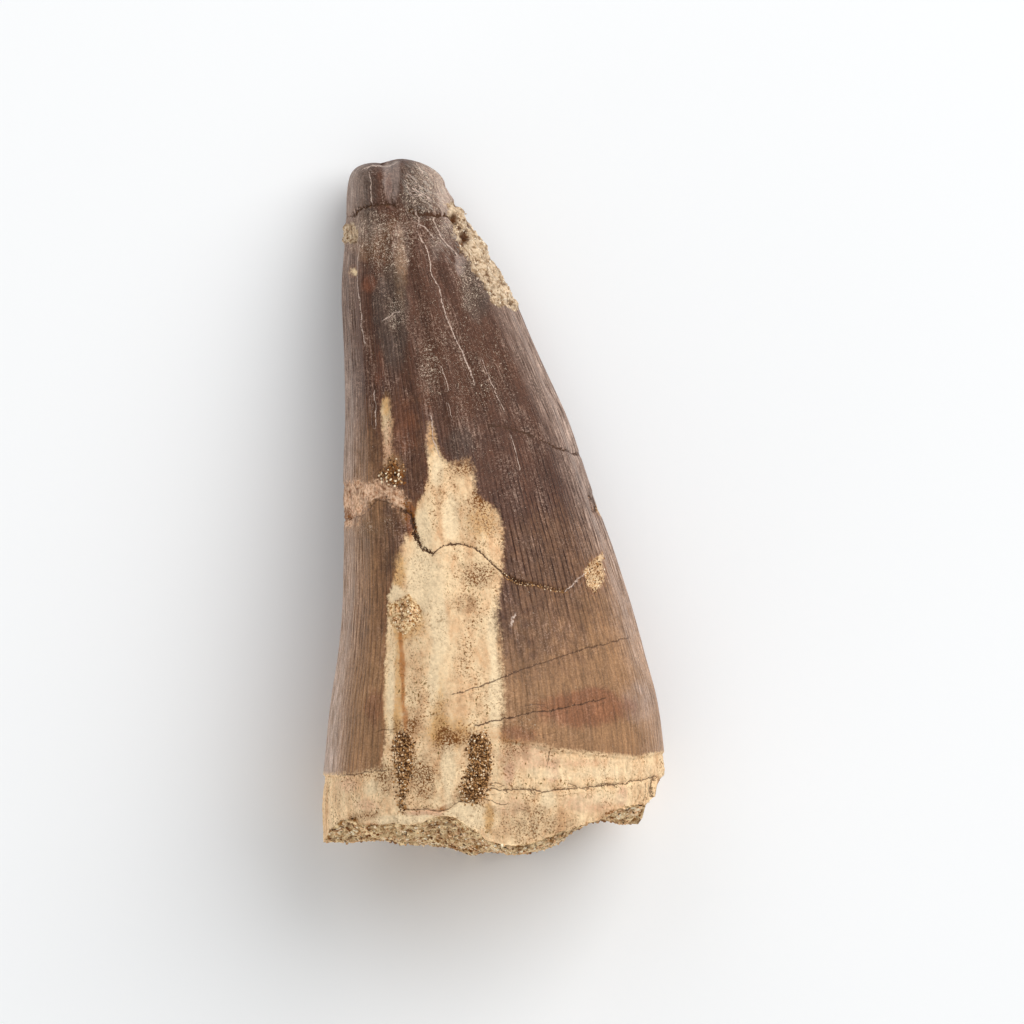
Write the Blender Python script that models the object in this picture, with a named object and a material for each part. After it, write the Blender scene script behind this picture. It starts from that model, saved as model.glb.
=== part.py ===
"""A fossil mosasaur tooth, lying on its flatter face with its worn tip towards +Y.

Enamel, dentine, the stub of root and the sand cemented to them are one solid. A sphere's rows and
columns are laid over the tooth: the rows run from the tip to the broken edge of the base and on over
the broken face, and the columns run lengthwise. Rows follow the main crack and the enamel's lower
edge, and columns follow both edges of the bare strip, so that each of these is a sharp step.

Every shape is given in millimetres, with x across the tooth from its middle (+ to the right) and d
along it from the tip.
"""

import math

import bmesh
import bpy
import numpy as np
from mathutils import Vector, noise

MM = 0.001
LENGTH = 70.0

# The crown's sections: d, left edge, right edge, height of the crest above the lowest line.
SECTIONS = (
    (0.0, -14.6, -6.2, 6.6),
    (3.0, -14.6, -4.6, 7.8),
    (8.0, -15.0, -1.4, 10.4),
    (14.0, -15.3, 2.1, 13.0),
    (20.0, -15.1, 4.8, 15.2),
    (26.0, -15.0, 7.4, 17.2),
    (35.0, -15.0, 10.5, 19.8),
    (44.0, -15.2, 13.6, 22.4),
    (49.0, -15.5, 15.1, 23.6),
    (54.0, -16.3, 16.3, 24.8),
    (59.0, -16.9, 17.0, 25.5),
    (63.0, -17.3, 17.3, 25.9),
    (70.0, -17.4, 17.0, 25.7),
)
SIDE_HEIGHT = 0.40
CREST_SHIFT = 0.22
UNDERSIDE_DROP = 1.3
FLAT_SOFTNESS = 0.3
TIP_LIFT = 2.2
TIP_LIFT_END = 27.0
CARINA_HEIGHT = 0.3
CARINA_HALF_ANGLE = 0.16

# The worn tip: a blunt cap with a saddle between two lobes, the left one a little lower.
CAP_DEPTH = 3.0
LEFT_BLUNTNESS = 3.4
RIGHT_BLUNTNESS = 2.1
POLE_X = -10.4
SADDLE_X = -10.7
SADDLE_WIDTH = 0.95
SADDLE_DEPTH = 0.55
LEFT_LOBE_DROP = 0.35
GROOVE_END = 13.0

# The broken end, as (x, d): the upper edge of the break and the lower one, which sticks out further.
UPPER_BREAK = (
    (-17.1, 68.7), (-15.6, 68.4), (-14.2, 66.6), (-12.0, 67.0), (-8.2, 66.7), (-5.9, 65.8),
    (-4.1, 66.2), (-2.6, 67.2), (-0.9, 68.4), (1.0, 68.9), (3.7, 68.7), (5.6, 67.9), (7.7, 67.5),
    (9.5, 66.7), (14.6, 66.9), (15.3, 65.7), (16.2, 64.3), (17.0, 62.6),
)
LOWER_BREAK = (
    (-17.1, 68.7), (-14.3, 68.4), (-13.0, 68.0), (-9.2, 68.8), (-4.1, 69.5), (1.9, 69.8), (5.2, 69.0),
    (7.7, 67.2), (12.0, 65.8), (17.0, 62.6),
)
BREAK_PROFILE = 0.6
BREAK_LUMPS = 0.55
BREAK_LEDGES = 0.4

# What is left of the enamel: the bare strip's edges as (d, x), and the enamel's lower edge as (x, d).
STRIP_TOP = 25.4
STRIP_LEFT = (
    (STRIP_TOP, -6.5), (30.4, -6.7), (34.9, -8.2), (38.8, -9.2), (43.4, -10.6), (55.3, -11.1),
    (61.0, -10.4),
)
STRIP_RIGHT = (
    (STRIP_TOP, -6.3), (29.1, -6.1), (30.4, -2.2), (34.5, -0.9), (36.5, 0.7), (39.8, 1.0),
    (46.5, 0.3), (54.2, 0.9), (61.0, 0.8),
)
ENAMEL_FOOT = (
    (-17.1, 61.9), (-12.3, 61.4), (-10.4, 61.0), (0.8, 58.2), (6.2, 59.3), (13.9, 60.1), (17.0, 59.6),
)
ENAMEL_THICKNESS = 0.5
ROOT_STEP = 0.25
EDGE_WIDTH = 0.4

# Cracks as (x, d), with their depth, and the chip where the main one ends.
MAIN_CRACK = (
    (-17.1, 36.8), (-14.8, 36.3), (-11.4, 34.5), (-9.8, 35.0), (-7.2, 38.6), (-6.0, 39.3), (-4.1, 38.8),
    (-1.5, 39.5), (0.8, 41.6), (3.9, 42.9), (7.7, 43.2), (9.6, 41.8), (17.0, 40.6),
)
MAIN_CRACK_DEPTH = 0.6
CRACK_HALF_WIDTH = 0.45
BAND_CRACK = ((-0.5, 63.4), (2.4, 63.0), (6.2, 63.3), (11.3, 62.8), (16.2, 62.3))
BAND_CRACK_DEPTH = 0.4

# Lumps of sand, and scars where the height is negative: x, d, half width, half length, height.
LUMPS = (
    (-9.2, 60.6, 1.3, 3.4, 0.75),
    (-1.7, 61.2, 1.4, 3.6, 0.85),
    (-8.9, 45.6, 1.8, 2.2, 0.65),
    (-9.8, 31.4, 0.9, 1.4, -0.45),
    (-6.2, 65.4, 2.6, 0.6, -0.5),
    (0.4, 7.9, 1.0, 1.6, -0.4),
    (1.6, 11.6, 1.3, 2.6, -0.35),
    (-13.4, 7.0, 1.6, 1.6, -0.3),
    (-11.8, 34.8, 2.4, 1.6, -0.35),
    (10.3, 42.0, 1.1, 1.6, -0.55),
)

# Long flutes around the crown, and the slow unevenness of a worn surface.
FLUTES = 19
FLUTE_DEPTH = 0.1
WEAR_DEPTH = 0.14
WEAR_SIZE = 6.0

# How many rows and columns each stretch of the surface gets. The column stretches run from the right
# edge over the top: flank, strip's right edge, strip, its left edge, flank, and back underneath.
CAP_ROWS = 6
CROWN_ROWS = (14, 1, 1, 14, 1, 5)
BREAK_ROWS = 13
CROWN_COLUMNS = (21, 1, 17, 1, 18, 38)


def hermite(at, table, column=1):
    """A smooth curve through one column of a table, read at values of its first column."""
    knots = np.array([row[0] for row in table])
    values = np.array([row[column] for row in table])
    slopes = np.gradient(values, knots)
    at = np.clip(at, knots[0], knots[-1])
    low = np.clip(np.searchsorted(knots, at, side="right") - 1, 0, len(knots) - 2)
    gap = knots[low + 1] - knots[low]
    t = (at - knots[low]) / gap
    return (
        (1 + 2 * t) * (1 - t) ** 2 * values[low]
        + t * (1 - t) ** 2 * gap * slopes[low]
        + t * t * (3 - 2 * t) * values[low + 1]
        - t * t * (1 - t) * gap * slopes[low + 1]
    )


def straight(at, table):
    """Straight lines through a table of pairs."""
    return np.interp(at, [row[0] for row in table], [row[1] for row in table])


def smoothstep(low, high, value):
    """0 below low, 1 above high, and an even bend between."""
    t = np.clip((value - low) / (high - low), 0.0, 1.0)
    return t * t * (3 - 2 * t)


def bell(offset, half_width):
    """1 at no offset, falling away evenly on both sides."""
    return np.exp(-((offset / half_width) ** 2))


def unevenness(x, y, z, seed):
    """Smooth noise from -1 to 1 at each point of three arrays."""
    points = np.stack([x, y, z], axis=-1).reshape(-1, 3) + seed
    return np.array([noise.noise(Vector(p)) for p in points]).reshape(np.shape(x))


def half_and_middle(d):
    """Half the crown's width without its carinae, and the middle of that width."""
    left = hermite(d, SECTIONS, 1) + CARINA_HEIGHT
    right = hermite(d, SECTIONS, 2) - CARINA_HEIGHT
    return (right - left) / 2, (right + left) / 2


def section(angle, d):
    """The crown's smooth surface at an angle around it (0 right, 90 degrees up) and a distance d."""
    half, middle = half_and_middle(d)
    height = hermite(d, SECTIONS, 3)
    side = SIDE_HEIGHT * height
    upper = np.clip(np.sin(angle), 0.0, 1.0)
    lower = np.clip(-np.sin(angle), 0.0, 1.0)
    x = middle + half * (np.cos(angle) - CREST_SHIFT * upper**2)
    z = side + (height - side) * upper - (side + UNDERSIDE_DROP) * lower
    lift = TIP_LIFT * np.clip(1 - d / TIP_LIFT_END, 0.0, 1.0) ** 2
    return x, z + lift


def upper_angle(x, d):
    """The angle on the upper face at which the section is x across: section() solved for it."""
    half, middle = half_and_middle(d)
    across = np.clip((x - middle) / half, -1.0, 1.0)
    cosine = (np.sqrt(1 + 4 * CREST_SHIFT * (CREST_SHIFT + across)) - 1) / (2 * CREST_SHIFT)
    return np.arccos(np.clip(cosine, -1.0, 1.0))


def rest_flat(z):
    """Lays the underside flat on z = 0, with a soft bend at the flat's edge."""
    blend = np.clip(z + FLAT_SOFTNESS, 0.0, None) ** 2 / (4 * FLAT_SOFTNESS)
    return np.where(z > FLAT_SOFTNESS, z, blend)


def follow(angle, path, start):
    """The distance d at which a line given as a function of x crosses each column."""
    d = np.full_like(angle, start)
    for _ in range(6):
        x, _z = section(angle, d)
        d = path(x)
    return d


def break_face(x, z):
    """The distance d of the broken face: its lower edge sticks out further than its upper one."""
    d = np.full_like(x, 66.0)
    half, middle = half_and_middle(d)
    _x, top = section(upper_angle(x, d), d)
    across = np.clip((x - middle) / half, -1.0, 1.0)
    _x, bottom = section(-np.arccos(across), d)
    bottom = rest_flat(bottom)
    down = np.clip((top - z) / np.maximum(top - bottom, 1.0), 0.0, 1.0)
    upper = straight(x, UPPER_BREAK)
    lower = straight(x, LOWER_BREAK)
    return upper + (lower - upper) * down**BREAK_PROFILE


def break_edge(angle):
    """The distance d of the broken edge all the way round."""
    upper = follow(angle, lambda x: straight(x, UPPER_BREAK), 66.0)
    lower = follow(angle, lambda x: straight(x, LOWER_BREAK), 66.0)
    return np.where(np.sin(angle) > 0, upper, lower)


def spread(anchors, counts, axis, closed):
    """Even steps from each anchor to the next, as many as counts says, along one axis of a grid."""
    steps = [(k, step / count) for k, count in enumerate(counts) for step in range(count)]
    if not closed:
        steps.append((len(counts) - 1, 1.0))
    lines = []
    for index, (k, share) in enumerate(steps):
        start = np.take(anchors[k], index, axis=axis)
        end = np.take(anchors[k + 1], index, axis=axis)
        lines.append(start + (end - start) * share)
    return np.stack(lines, axis=axis)


def crown_grid():
    """The angle and the distance d of every crossing of a row and a column on the crown."""
    row_count = sum(CROWN_ROWS) + 1
    column_count = sum(CROWN_COLUMNS)
    angle = np.tile(np.linspace(0.0, math.tau, column_count, endpoint=False), (row_count, 1))
    for _ in range(6):
        crack = follow(angle, lambda x: hermite(x, MAIN_CRACK), 38.0)
        foot = follow(angle, lambda x: hermite(x, ENAMEL_FOOT), 60.0)
        row_anchors = (
            np.full_like(angle, CAP_DEPTH),
            crack - CRACK_HALF_WIDTH,
            crack,
            crack + CRACK_HALF_WIDTH,
            foot,
            foot + EDGE_WIDTH,
            break_edge(angle),
        )
        d = spread(row_anchors, CROWN_ROWS, axis=0, closed=False)
        strip_d = np.clip(d, 31.0, 61.0)
        half_edge = EDGE_WIDTH / 2 / half_and_middle(d)[0]
        right = upper_angle(hermite(strip_d, STRIP_RIGHT), strip_d)
        left = upper_angle(hermite(strip_d, STRIP_LEFT), strip_d)
        column_anchors = (
            np.zeros_like(d),
            right - half_edge,
            right + half_edge,
            left - half_edge,
            left + half_edge,
            np.full_like(d, math.pi),
            np.full_like(d, math.tau),
        )
        angle = spread(column_anchors, CROWN_COLUMNS, axis=1, closed=True)
    return angle, d


def cap_rows(angle):
    """The blunt tip: rows that open from the pole to the crown's first full section."""
    x_full, z_full = section(angle, np.full_like(angle, CAP_DEPTH))
    z_pole = SIDE_HEIGHT * hermite(CAP_DEPTH, SECTIONS, 3) + TIP_LIFT
    bluntness = RIGHT_BLUNTNESS + (LEFT_BLUNTNESS - RIGHT_BLUNTNESS) * (1 - np.cos(angle)) / 2
    rows = []
    for row in range(CAP_ROWS):
        turn = row / CAP_ROWS * math.pi / 2
        opening = math.sin(turn) ** (2 / bluntness)
        depth = CAP_DEPTH * (1 - math.cos(turn) ** (2 / bluntness))
        x = POLE_X + (x_full - POLE_X) * opening
        z = z_pole + (z_full - z_pole) * opening
        lobes = SADDLE_DEPTH * bell(x - SADDLE_X, SADDLE_WIDTH)
        lobes = lobes + LEFT_LOBE_DROP * smoothstep(SADDLE_X + 0.5, SADDLE_X - 0.5, x)
        rows.append((x, depth + lobes * (1 - depth / CAP_DEPTH), z))
    return rows


def break_rows(x_edge, d_edge, z_edge):
    """The broken face, from its edge in to a pole near its middle."""
    x_middle = (x_edge.max() + x_edge.min()) / 2
    z_middle = (z_edge.max() + z_edge.min()) / 2
    rows = []
    for row in range(1, BREAK_ROWS + 1):
        inward = (row / BREAK_ROWS) ** 1.15
        x = x_edge + (x_middle - x_edge) * inward
        z = z_edge + (z_middle - z_edge) * inward
        lumps = BREAK_LUMPS * unevenness(x / 3.6, 0 * x, z / 3.0, 7.0)
        ledges = BREAK_LEDGES * unevenness(x / 8.0, 0 * x, z / 2.6, 2.0)
        rough = (lumps + ledges) * smoothstep(0.0, 0.25, inward)
        join = smoothstep(0.0, 0.2, inward)
        rows.append((x, d_edge + (break_face(x, z) + rough - d_edge) * join, z))
    return rows


def enamel_lost(x, d, upper):
    """How deep the surface lies where the enamel is gone: on the bare strip and the band of root."""
    edge = EDGE_WIDTH / 2
    strip = smoothstep(-edge, edge, x - hermite(d, STRIP_LEFT))
    strip = strip * smoothstep(-edge, edge, hermite(d, STRIP_RIGHT) - x)
    strip = strip * smoothstep(STRIP_TOP, STRIP_TOP + 1.6, d) * upper
    root = smoothstep(0.0, EDGE_WIDTH, d - hermite(x, ENAMEL_FOOT))
    return np.maximum(strip * (1 - root) * ENAMEL_THICKNESS, root * ROOT_STEP)


def relief(angle, x, d, z):
    """How far each point of the crown stands above or below its smooth section."""
    upper = smoothstep(0.05, 0.3, np.sin(angle))
    height = -enamel_lost(x, d, upper)
    fluted = smoothstep(2.0, 9.0, d) * (1 - smoothstep(40.0, 60.0, d))
    height = height + FLUTE_DEPTH * np.cos(FLUTES * angle) * fluted
    worn = unevenness(x / WEAR_SIZE, d / WEAR_SIZE, z / WEAR_SIZE, 3.0)
    height = height + WEAR_DEPTH * worn * smoothstep(0.0, 5.0, d)
    from_side = np.minimum(np.abs(np.sin(angle / 2)), np.abs(np.cos(angle / 2))) * 2
    height = height + CARINA_HEIGHT * bell(from_side, CARINA_HALF_ANGLE)
    groove = bell(x - SADDLE_X, SADDLE_WIDTH) * (1 - smoothstep(2.0, GROOVE_END, d))
    height = height - SADDLE_DEPTH * groove * upper
    crack = np.clip(1 - np.abs(d - hermite(x, MAIN_CRACK)) / CRACK_HALF_WIDTH, 0.0, 1.0)
    open_part = 1 - smoothstep(8.0, 10.5, x)
    height = height - MAIN_CRACK_DEPTH * crack * open_part * upper
    seam = bell(d - hermite(x, BAND_CRACK), 0.5) * smoothstep(-1.2, 0.2, x)
    height = height - BAND_CRACK_DEPTH * seam * upper
    for x_lump, d_lump, half_width, half_length, rise in LUMPS:
        lump = np.exp(-(((x - x_lump) / half_width) ** 4) - ((d - d_lump) / half_length) ** 4)
        height = height + rise * lump * upper
    return height


def outward(points):
    """Unit normals of a grid of points that closes on itself along its second axis."""
    along = np.gradient(points, axis=0)
    around = np.roll(points, -1, axis=1) - np.roll(points, 1, axis=1)
    normals = np.cross(around, along)
    lengths = np.linalg.norm(normals, axis=2, keepdims=True)
    return normals / np.maximum(lengths, 1e-9)


def tooth_surface():
    """The whole surface, row by row from the tip's pole to the pole of the broken face."""
    crown_angle, crown_d = crown_grid()
    crown_x, crown_z = section(crown_angle, crown_d)
    cap = cap_rows(crown_angle[0])
    crown = list(zip(crown_x, crown_d, crown_z))
    broken = break_rows(crown_x[-1], crown_d[-1], crown_z[-1])
    x, d, z = np.moveaxis(np.array(cap + crown + broken), 1, 0)
    angle = np.concatenate([np.tile(crown_angle[0], (len(cap), 1)), crown_angle])
    height = np.zeros_like(x)
    sides = slice(0, len(angle))
    height[sides] = relief(angle, x[sides], d[sides], z[sides])
    height[0] = 0.0
    points = np.stack([x, LENGTH / 2 - d, z], axis=-1)
    points = points + outward(points) * height[..., None]
    points[..., 2] = rest_flat(points[..., 2])
    for pole in (0, -1):
        points[pole] = points[pole].mean(axis=0)
    low = points.min(axis=(0, 1))
    high = points.max(axis=(0, 1))
    return points - np.array([(low[0] + high[0]) / 2, (low[1] + high[1]) / 2, low[2]])


def fossil_material():
    """Brown fossil enamel, the colour that covers most of the tooth."""
    material = bpy.data.materials.new("fossil_enamel")
    material.use_nodes = True
    shader = material.node_tree.nodes["Principled BSDF"]
    shader.inputs["Base Color"].default_value = (0.115, 0.062, 0.045, 1.0)
    shader.inputs["Roughness"].default_value = 0.42
    shader.inputs["Metallic"].default_value = 0.0
    return material


def make_tooth(collection):
    """One closed body: a sphere's vertices moved onto the tooth's surface."""
    points = tooth_surface()
    last_row = len(points) - 1
    column_count = points.shape[1]
    shape = bmesh.new()
    bmesh.ops.create_uvsphere(shape, u_segments=column_count, v_segments=last_row, radius=1.0)
    for vertex in shape.verts:
        polar = math.acos(max(-1.0, min(1.0, vertex.co.z)))
        row = round(polar / math.pi * last_row)
        column = round(math.atan2(vertex.co.y, vertex.co.x) / math.tau * column_count) % column_count
        vertex.co = Vector(points[row, column]) * MM
    resting = [face for face in shape.faces if all(vertex.co.z == 0.0 for vertex in face.verts)]
    bmesh.ops.dissolve_faces(shape, faces=resting)
    bmesh.ops.triangulate(shape, faces=shape.faces[:])
    bmesh.ops.recalc_face_normals(shape, faces=shape.faces[:])
    mesh = bpy.data.meshes.new("mosasaur_tooth")
    shape.to_mesh(mesh)
    shape.free()
    mesh.shade_smooth()
    mesh.set_sharp_from_angle(angle=math.radians(50))
    mesh.materials.append(fossil_material())
    tooth = bpy.data.objects.new("mosasaur_tooth", mesh)
    collection.objects.link(tooth)
    return tooth


def main():
    for old in list(bpy.data.objects):
        bpy.data.objects.remove(old, do_unlink=True)
    collection = bpy.data.collections.new("fossil_mosasaur_tooth")
    bpy.context.scene.collection.children.link(collection)
    make_tooth(collection)


main()
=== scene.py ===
"""A fossil mosasaur tooth on a pale floor: ribbed enamel worn through to dentine, a broken root end,
and phosphate sand cemented in its hollows.

Shapes are worked out in millimetres, with x across the tooth from its middle (+ to the right) and d
along it from the tip. The tooth is one grid of faces, closed on itself: its rows run from the tip to
the broken edge and on over the broken face, and its columns run lengthwise, three to a rib.
"""

import math
import random

import bmesh
import bpy
import numpy as np
from mathutils import Euler, Matrix, Vector, noise


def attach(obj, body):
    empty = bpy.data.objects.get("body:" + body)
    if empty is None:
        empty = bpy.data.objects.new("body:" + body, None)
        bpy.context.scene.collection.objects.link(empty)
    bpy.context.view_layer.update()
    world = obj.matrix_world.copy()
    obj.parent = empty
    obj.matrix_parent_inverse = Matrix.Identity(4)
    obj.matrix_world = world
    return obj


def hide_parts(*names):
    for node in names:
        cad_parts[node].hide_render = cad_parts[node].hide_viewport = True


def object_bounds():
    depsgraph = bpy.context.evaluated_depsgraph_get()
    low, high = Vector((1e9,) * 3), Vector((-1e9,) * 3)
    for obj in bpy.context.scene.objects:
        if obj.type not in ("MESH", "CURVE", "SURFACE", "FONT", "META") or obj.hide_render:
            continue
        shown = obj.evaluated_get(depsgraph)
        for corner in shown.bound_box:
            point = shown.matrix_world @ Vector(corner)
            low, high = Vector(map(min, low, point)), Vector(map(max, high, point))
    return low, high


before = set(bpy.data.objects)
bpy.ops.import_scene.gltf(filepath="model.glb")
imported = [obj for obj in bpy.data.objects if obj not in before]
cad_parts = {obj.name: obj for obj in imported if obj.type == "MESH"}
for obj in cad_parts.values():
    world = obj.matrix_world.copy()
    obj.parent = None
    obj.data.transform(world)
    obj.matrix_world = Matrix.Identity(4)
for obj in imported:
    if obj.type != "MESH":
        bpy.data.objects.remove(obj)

cad_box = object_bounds()

MM = 0.001
LENGTH = 70.0

# The crown's sections: d, left edge, right edge, height of the crest above the lowest line.
SECTIONS = (
    (0.0, -14.8, -6.3, 6.6), (3.0, -14.8, -4.8, 7.8), (8.0, -15.0, -1.7, 10.4),
    (14.0, -15.4, 1.7, 13.0), (20.0, -15.2, 4.4, 15.2), (26.0, -15.1, 7.1, 17.2),
    (35.0, -15.2, 10.3, 19.8), (44.0, -15.3, 13.3, 22.4), (49.0, -15.7, 14.8, 23.6),
    (54.0, -16.4, 16.2, 24.8), (59.0, -16.9, 17.0, 25.5), (63.0, -17.3, 17.3, 25.9),
    (70.0, -17.4, 17.0, 25.7),
)
# The widest line's share of the height, the crest's lean to the left, and how the underside lies.
SIDE_HEIGHT = 0.40
CREST_SHIFT = 0.22
UNDERSIDE_DROP = 1.3
FLAT_SOFTNESS = 0.3
TIP_LIFT = 2.2
TIP_LIFT_END = 27.0
# The edge along each side of the crown.
CARINA_HEIGHT = 0.3
CARINA_HALF_ANGLE = 0.16

# The worn tip: a blunt cap with a saddle between two lobes.
CAP_DEPTH = 3.0
LEFT_BLUNTNESS = 3.4
RIGHT_BLUNTNESS = 2.1
POLE_X = -10.4
SADDLE_X = -10.7
SADDLE_WIDTH = 0.95
SADDLE_DEPTH = 0.22
LEFT_LOBE_DROP = 0.4
GROOVE_DEPTH = 0.28
GROOVE_END = 13.0

# The broken end, as (x, d): the upper edge of the break and the lower one, which sticks out further.
UPPER_BREAK = (
    (-17.1, 68.7), (-16.6, 67.6), (-15.4, 66.6), (-14.2, 66.4), (-13.2, 67.0), (-11.9, 67.0),
    (-10.4, 66.7), (-8.9, 66.9), (-7.4, 66.9), (-6.2, 66.3), (-5.1, 66.0), (-4.2, 66.1), (-3.2, 66.6),
    (-2.2, 67.2), (-1.4, 67.8), (-0.9, 68.3), (0.7, 68.8), (2.2, 68.9), (3.7, 68.7), (5.2, 68.2),
    (6.7, 67.6), (8.2, 67.1), (9.7, 66.6), (10.9, 66.3), (11.7, 65.8), (12.5, 65.3), (14.0, 65.0),
    (15.1, 65.0), (15.5, 64.6), (16.1, 64.1), (16.3, 63.0), (17.0, 61.8),
)
LOWER_BREAK = (
    (-17.1, 68.7), (-16.1, 68.6), (-14.9, 68.7), (-12.4, 68.5), (-10.9, 68.6), (-9.4, 68.9),
    (-7.4, 69.0), (-5.4, 69.3), (-3.4, 69.6), (-1.4, 69.5), (0.7, 69.6), (2.2, 69.7), (3.7, 69.7),
    (5.2, 69.3), (6.5, 68.9), (7.3, 67.8), (8.2, 67.1), (9.5, 66.4), (10.7, 66.2), (12.7, 66.8),
    (14.7, 67.0), (15.1, 66.2), (15.2, 65.3), (15.6, 64.7), (16.1, 64.2), (16.3, 63.1), (17.0, 61.9),
)
BREAK_MIDDLE = 66.0
BREAK_PROFILE = 0.6
# How far the broken face stands up and down, in mm, by pattern, and where painted shade darkens its
# hollows.
BREAK_ROUGHNESS = {"break_lumps": 0.55, "ledges": 0.4, "flakes": 0.4, "crumbs": 0.22}
BREAK_HOLLOW_SHADE = {"flakes": -0.84, "crumbs": -1.12}

# Lines as (x, d) that rows of the grid follow: the main crack, the enamel's foot, the root's seam.
CRACK_ROW = (
    (-17.1, 36.8), (-14.9, 36.3), (-13.2, 35.8), (-11.8, 34.5), (-10.4, 34.7), (-9.2, 35.2),
    (-8.3, 36.6), (-7.6, 38.4), (-6.4, 39.5), (-5.4, 39.1), (-4.3, 38.8), (-2.9, 38.8), (-1.9, 39.1),
    (-0.4, 40.5), (1.2, 41.9), (3.2, 42.7), (5.9, 43.2), (7.5, 43.4), (9.6, 41.8), (17.0, 40.6),
)
ENAMEL_FOOT = (
    (-17.1, 61.9), (-14.3, 61.9), (-12.3, 61.4), (-10.4, 61.0), (-6.0, 60.2), (0.8, 58.1), (3.7, 58.8),
    (6.2, 59.3), (9.3, 59.6), (11.3, 59.8), (13.9, 60.1), (17.0, 59.6),
)
SEAM_ROW = (
    (-17.1, 65.2), (-9.2, 65.1), (-5.4, 65.3), (-3.8, 64.6), (-0.7, 63.3), (0.7, 63.2), (6.7, 63.2),
    (10.7, 62.9), (13.9, 62.4), (17.0, 61.6),
)
CRACK_ROW_REACH = 0.5
FOOT_WIDTH = 0.3
SEAM_TO_BREAK = 0.6

# Where the enamel is gone, as outlines of (x, d): the strip, a sliver, two chips and a white spot.
BARE_OUTLINES = (
    (
        (-6.5, 26.8), (-6.3, 26.8), (-6.0, 28.4), (-5.4, 29.8), (-5.0, 30.4), (-4.4, 30.7),
        (-3.5, 30.7), (-2.7, 30.4), (-2.2, 31.3), (-2.0, 32.4), (-1.8, 33.7), (-0.7, 34.6),
        (0.2, 35.3), (0.7, 36.2), (0.9, 37.3), (0.9, 40.8), (0.7, 42.8), (0.3, 44.4), (0.1, 46.2),
        (0.6, 48.8), (0.9, 54.2), (0.8, 58.3), (0.8, 63.0), (-11.2, 63.0), (-11.2, 60.4),
        (-10.8, 57.8), (-11.1, 55.3), (-11.0, 52.2), (-10.9, 49.0), (-10.7, 45.7), (-10.7, 43.9),
        (-10.3, 43.2), (-9.9, 41.7), (-9.6, 40.3), (-9.1, 39.0), (-8.7, 37.8), (-8.0, 37.1),
        (-8.1, 36.0), (-7.8, 34.9), (-7.1, 33.7), (-6.6, 32.2), (-6.5, 31.0), (-6.6, 29.5),
        (-6.6, 27.8),
    ),
    (
        (-11.3, 24.3), (-10.6, 24.3), (-10.3, 26.0), (-10.2, 29.5), (-10.3, 31.1), (-11.1, 31.1),
        (-11.2, 28.0), (-11.4, 26.0),
    ),
    ((8.9, 41.6), (9.7, 40.6), (10.7, 39.7), (10.8, 41.2), (10.9, 42.6), (10.2, 43.5), (9.2, 42.9)),
    ((9.95, 34.3), (10.15, 34.6), (10.35, 35.3), (10.35, 36.0), (10.1, 35.5)),
    ((-14.3, 11.3), (-14.0, 11.2), (-13.7, 11.5), (-13.9, 11.8), (-14.3, 11.7)),
)
# Where enamel has flaked off, where pale sand is cemented on, the lump of sand, and the loose sand.
SPALL_OUTLINE = (
    (-17.5, 33.2), (-13.6, 32.4), (-12.4, 32.9), (-11.6, 32.4), (-10.8, 32.6), (-9.9, 33.1),
    (-9.0, 33.5), (-8.5, 34.7), (-8.8, 35.4), (-9.7, 35.3), (-10.6, 34.5), (-11.4, 33.9),
    (-12.2, 34.4), (-13.0, 35.2), (-13.6, 36.2), (-14.2, 37.2), (-17.5, 36.4),
)
CRUST_OUTLINES = (
    (
        (-4.9, 4.6), (-4.4, 6.1), (-4.2, 7.7), (-3.5, 9.1), (-2.6, 10.3), (-2.2, 11.6), (-1.2, 12.6),
        (-0.5, 13.6), (0.2, 14.8), (1.2, 15.2), (2.1, 15.4), (5.0, 15.0), (2.0, 8.0), (-2.0, 3.6),
    ),
    ((-17.0, 7.2), (-14.2, 6.5), (-13.7, 7.2), (-13.7, 8.2), (-14.1, 8.7), (-17.0, 8.2)),
)
LUMP_OUTLINE = (
    (-10.6, 44.5), (-9.9, 44.6), (-9.1, 44.3), (-8.7, 43.7), (-7.8, 44.4), (-7.1, 45.6), (-7.8, 46.8),
    (-8.8, 47.7), (-9.8, 47.4), (-10.5, 46.4), (-10.7, 44.9),
)
SAND_OUTLINES = (
    (
        (-9.7, 57.6), (-8.8, 57.3), (-8.1, 58.2), (-8.0, 60.3), (-8.7, 63.0), (-9.2, 65.4),
        (-9.5, 63.9), (-9.9, 60.9), (-10.1, 58.8),
    ),
    (
        (-2.2, 57.8), (-0.8, 57.6), (-0.3, 59.6), (-0.5, 62.0), (-0.9, 63.6), (-1.8, 64.5),
        (-3.0, 63.8), (-3.0, 62.4), (-2.3, 60.6), (-2.4, 58.6),
    ),
    (
        (-10.6, 30.1), (-9.6, 30.4), (-9.2, 31.4), (-9.3, 32.5), (-9.9, 32.9), (-10.7, 32.3),
        (-11.4, 31.9), (-10.9, 31.0),
    ),
)
# Deep pits in the crust and in the hole of the spalled enamel: x, d, half width, half length, depth.
PITS = (
    (-9.9, 32.0, 0.5, 0.7, 0.6), (-2.9, 7.9, 0.35, 0.5, 0.7), (-4.0, 6.2, 0.3, 0.45, 0.6),
    (-3.4, 9.6, 0.25, 0.3, 0.3), (-1.8, 12.1, 0.25, 0.4, 0.35), (-8.0, 5.3, 0.3, 0.2, 0.3),
    (-3.6, 7.0, 0.2, 0.25, 0.4), (-0.9, 13.2, 0.2, 0.3, 0.25), (-2.5, 10.6, 0.2, 0.3, 0.4),
    (-0.2, 14.4, 0.25, 0.25, 0.3), (-3.2, 8.7, 0.2, 0.25, 0.35), (-14.9, 35.8, 0.3, 0.5, 0.3),
)
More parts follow.
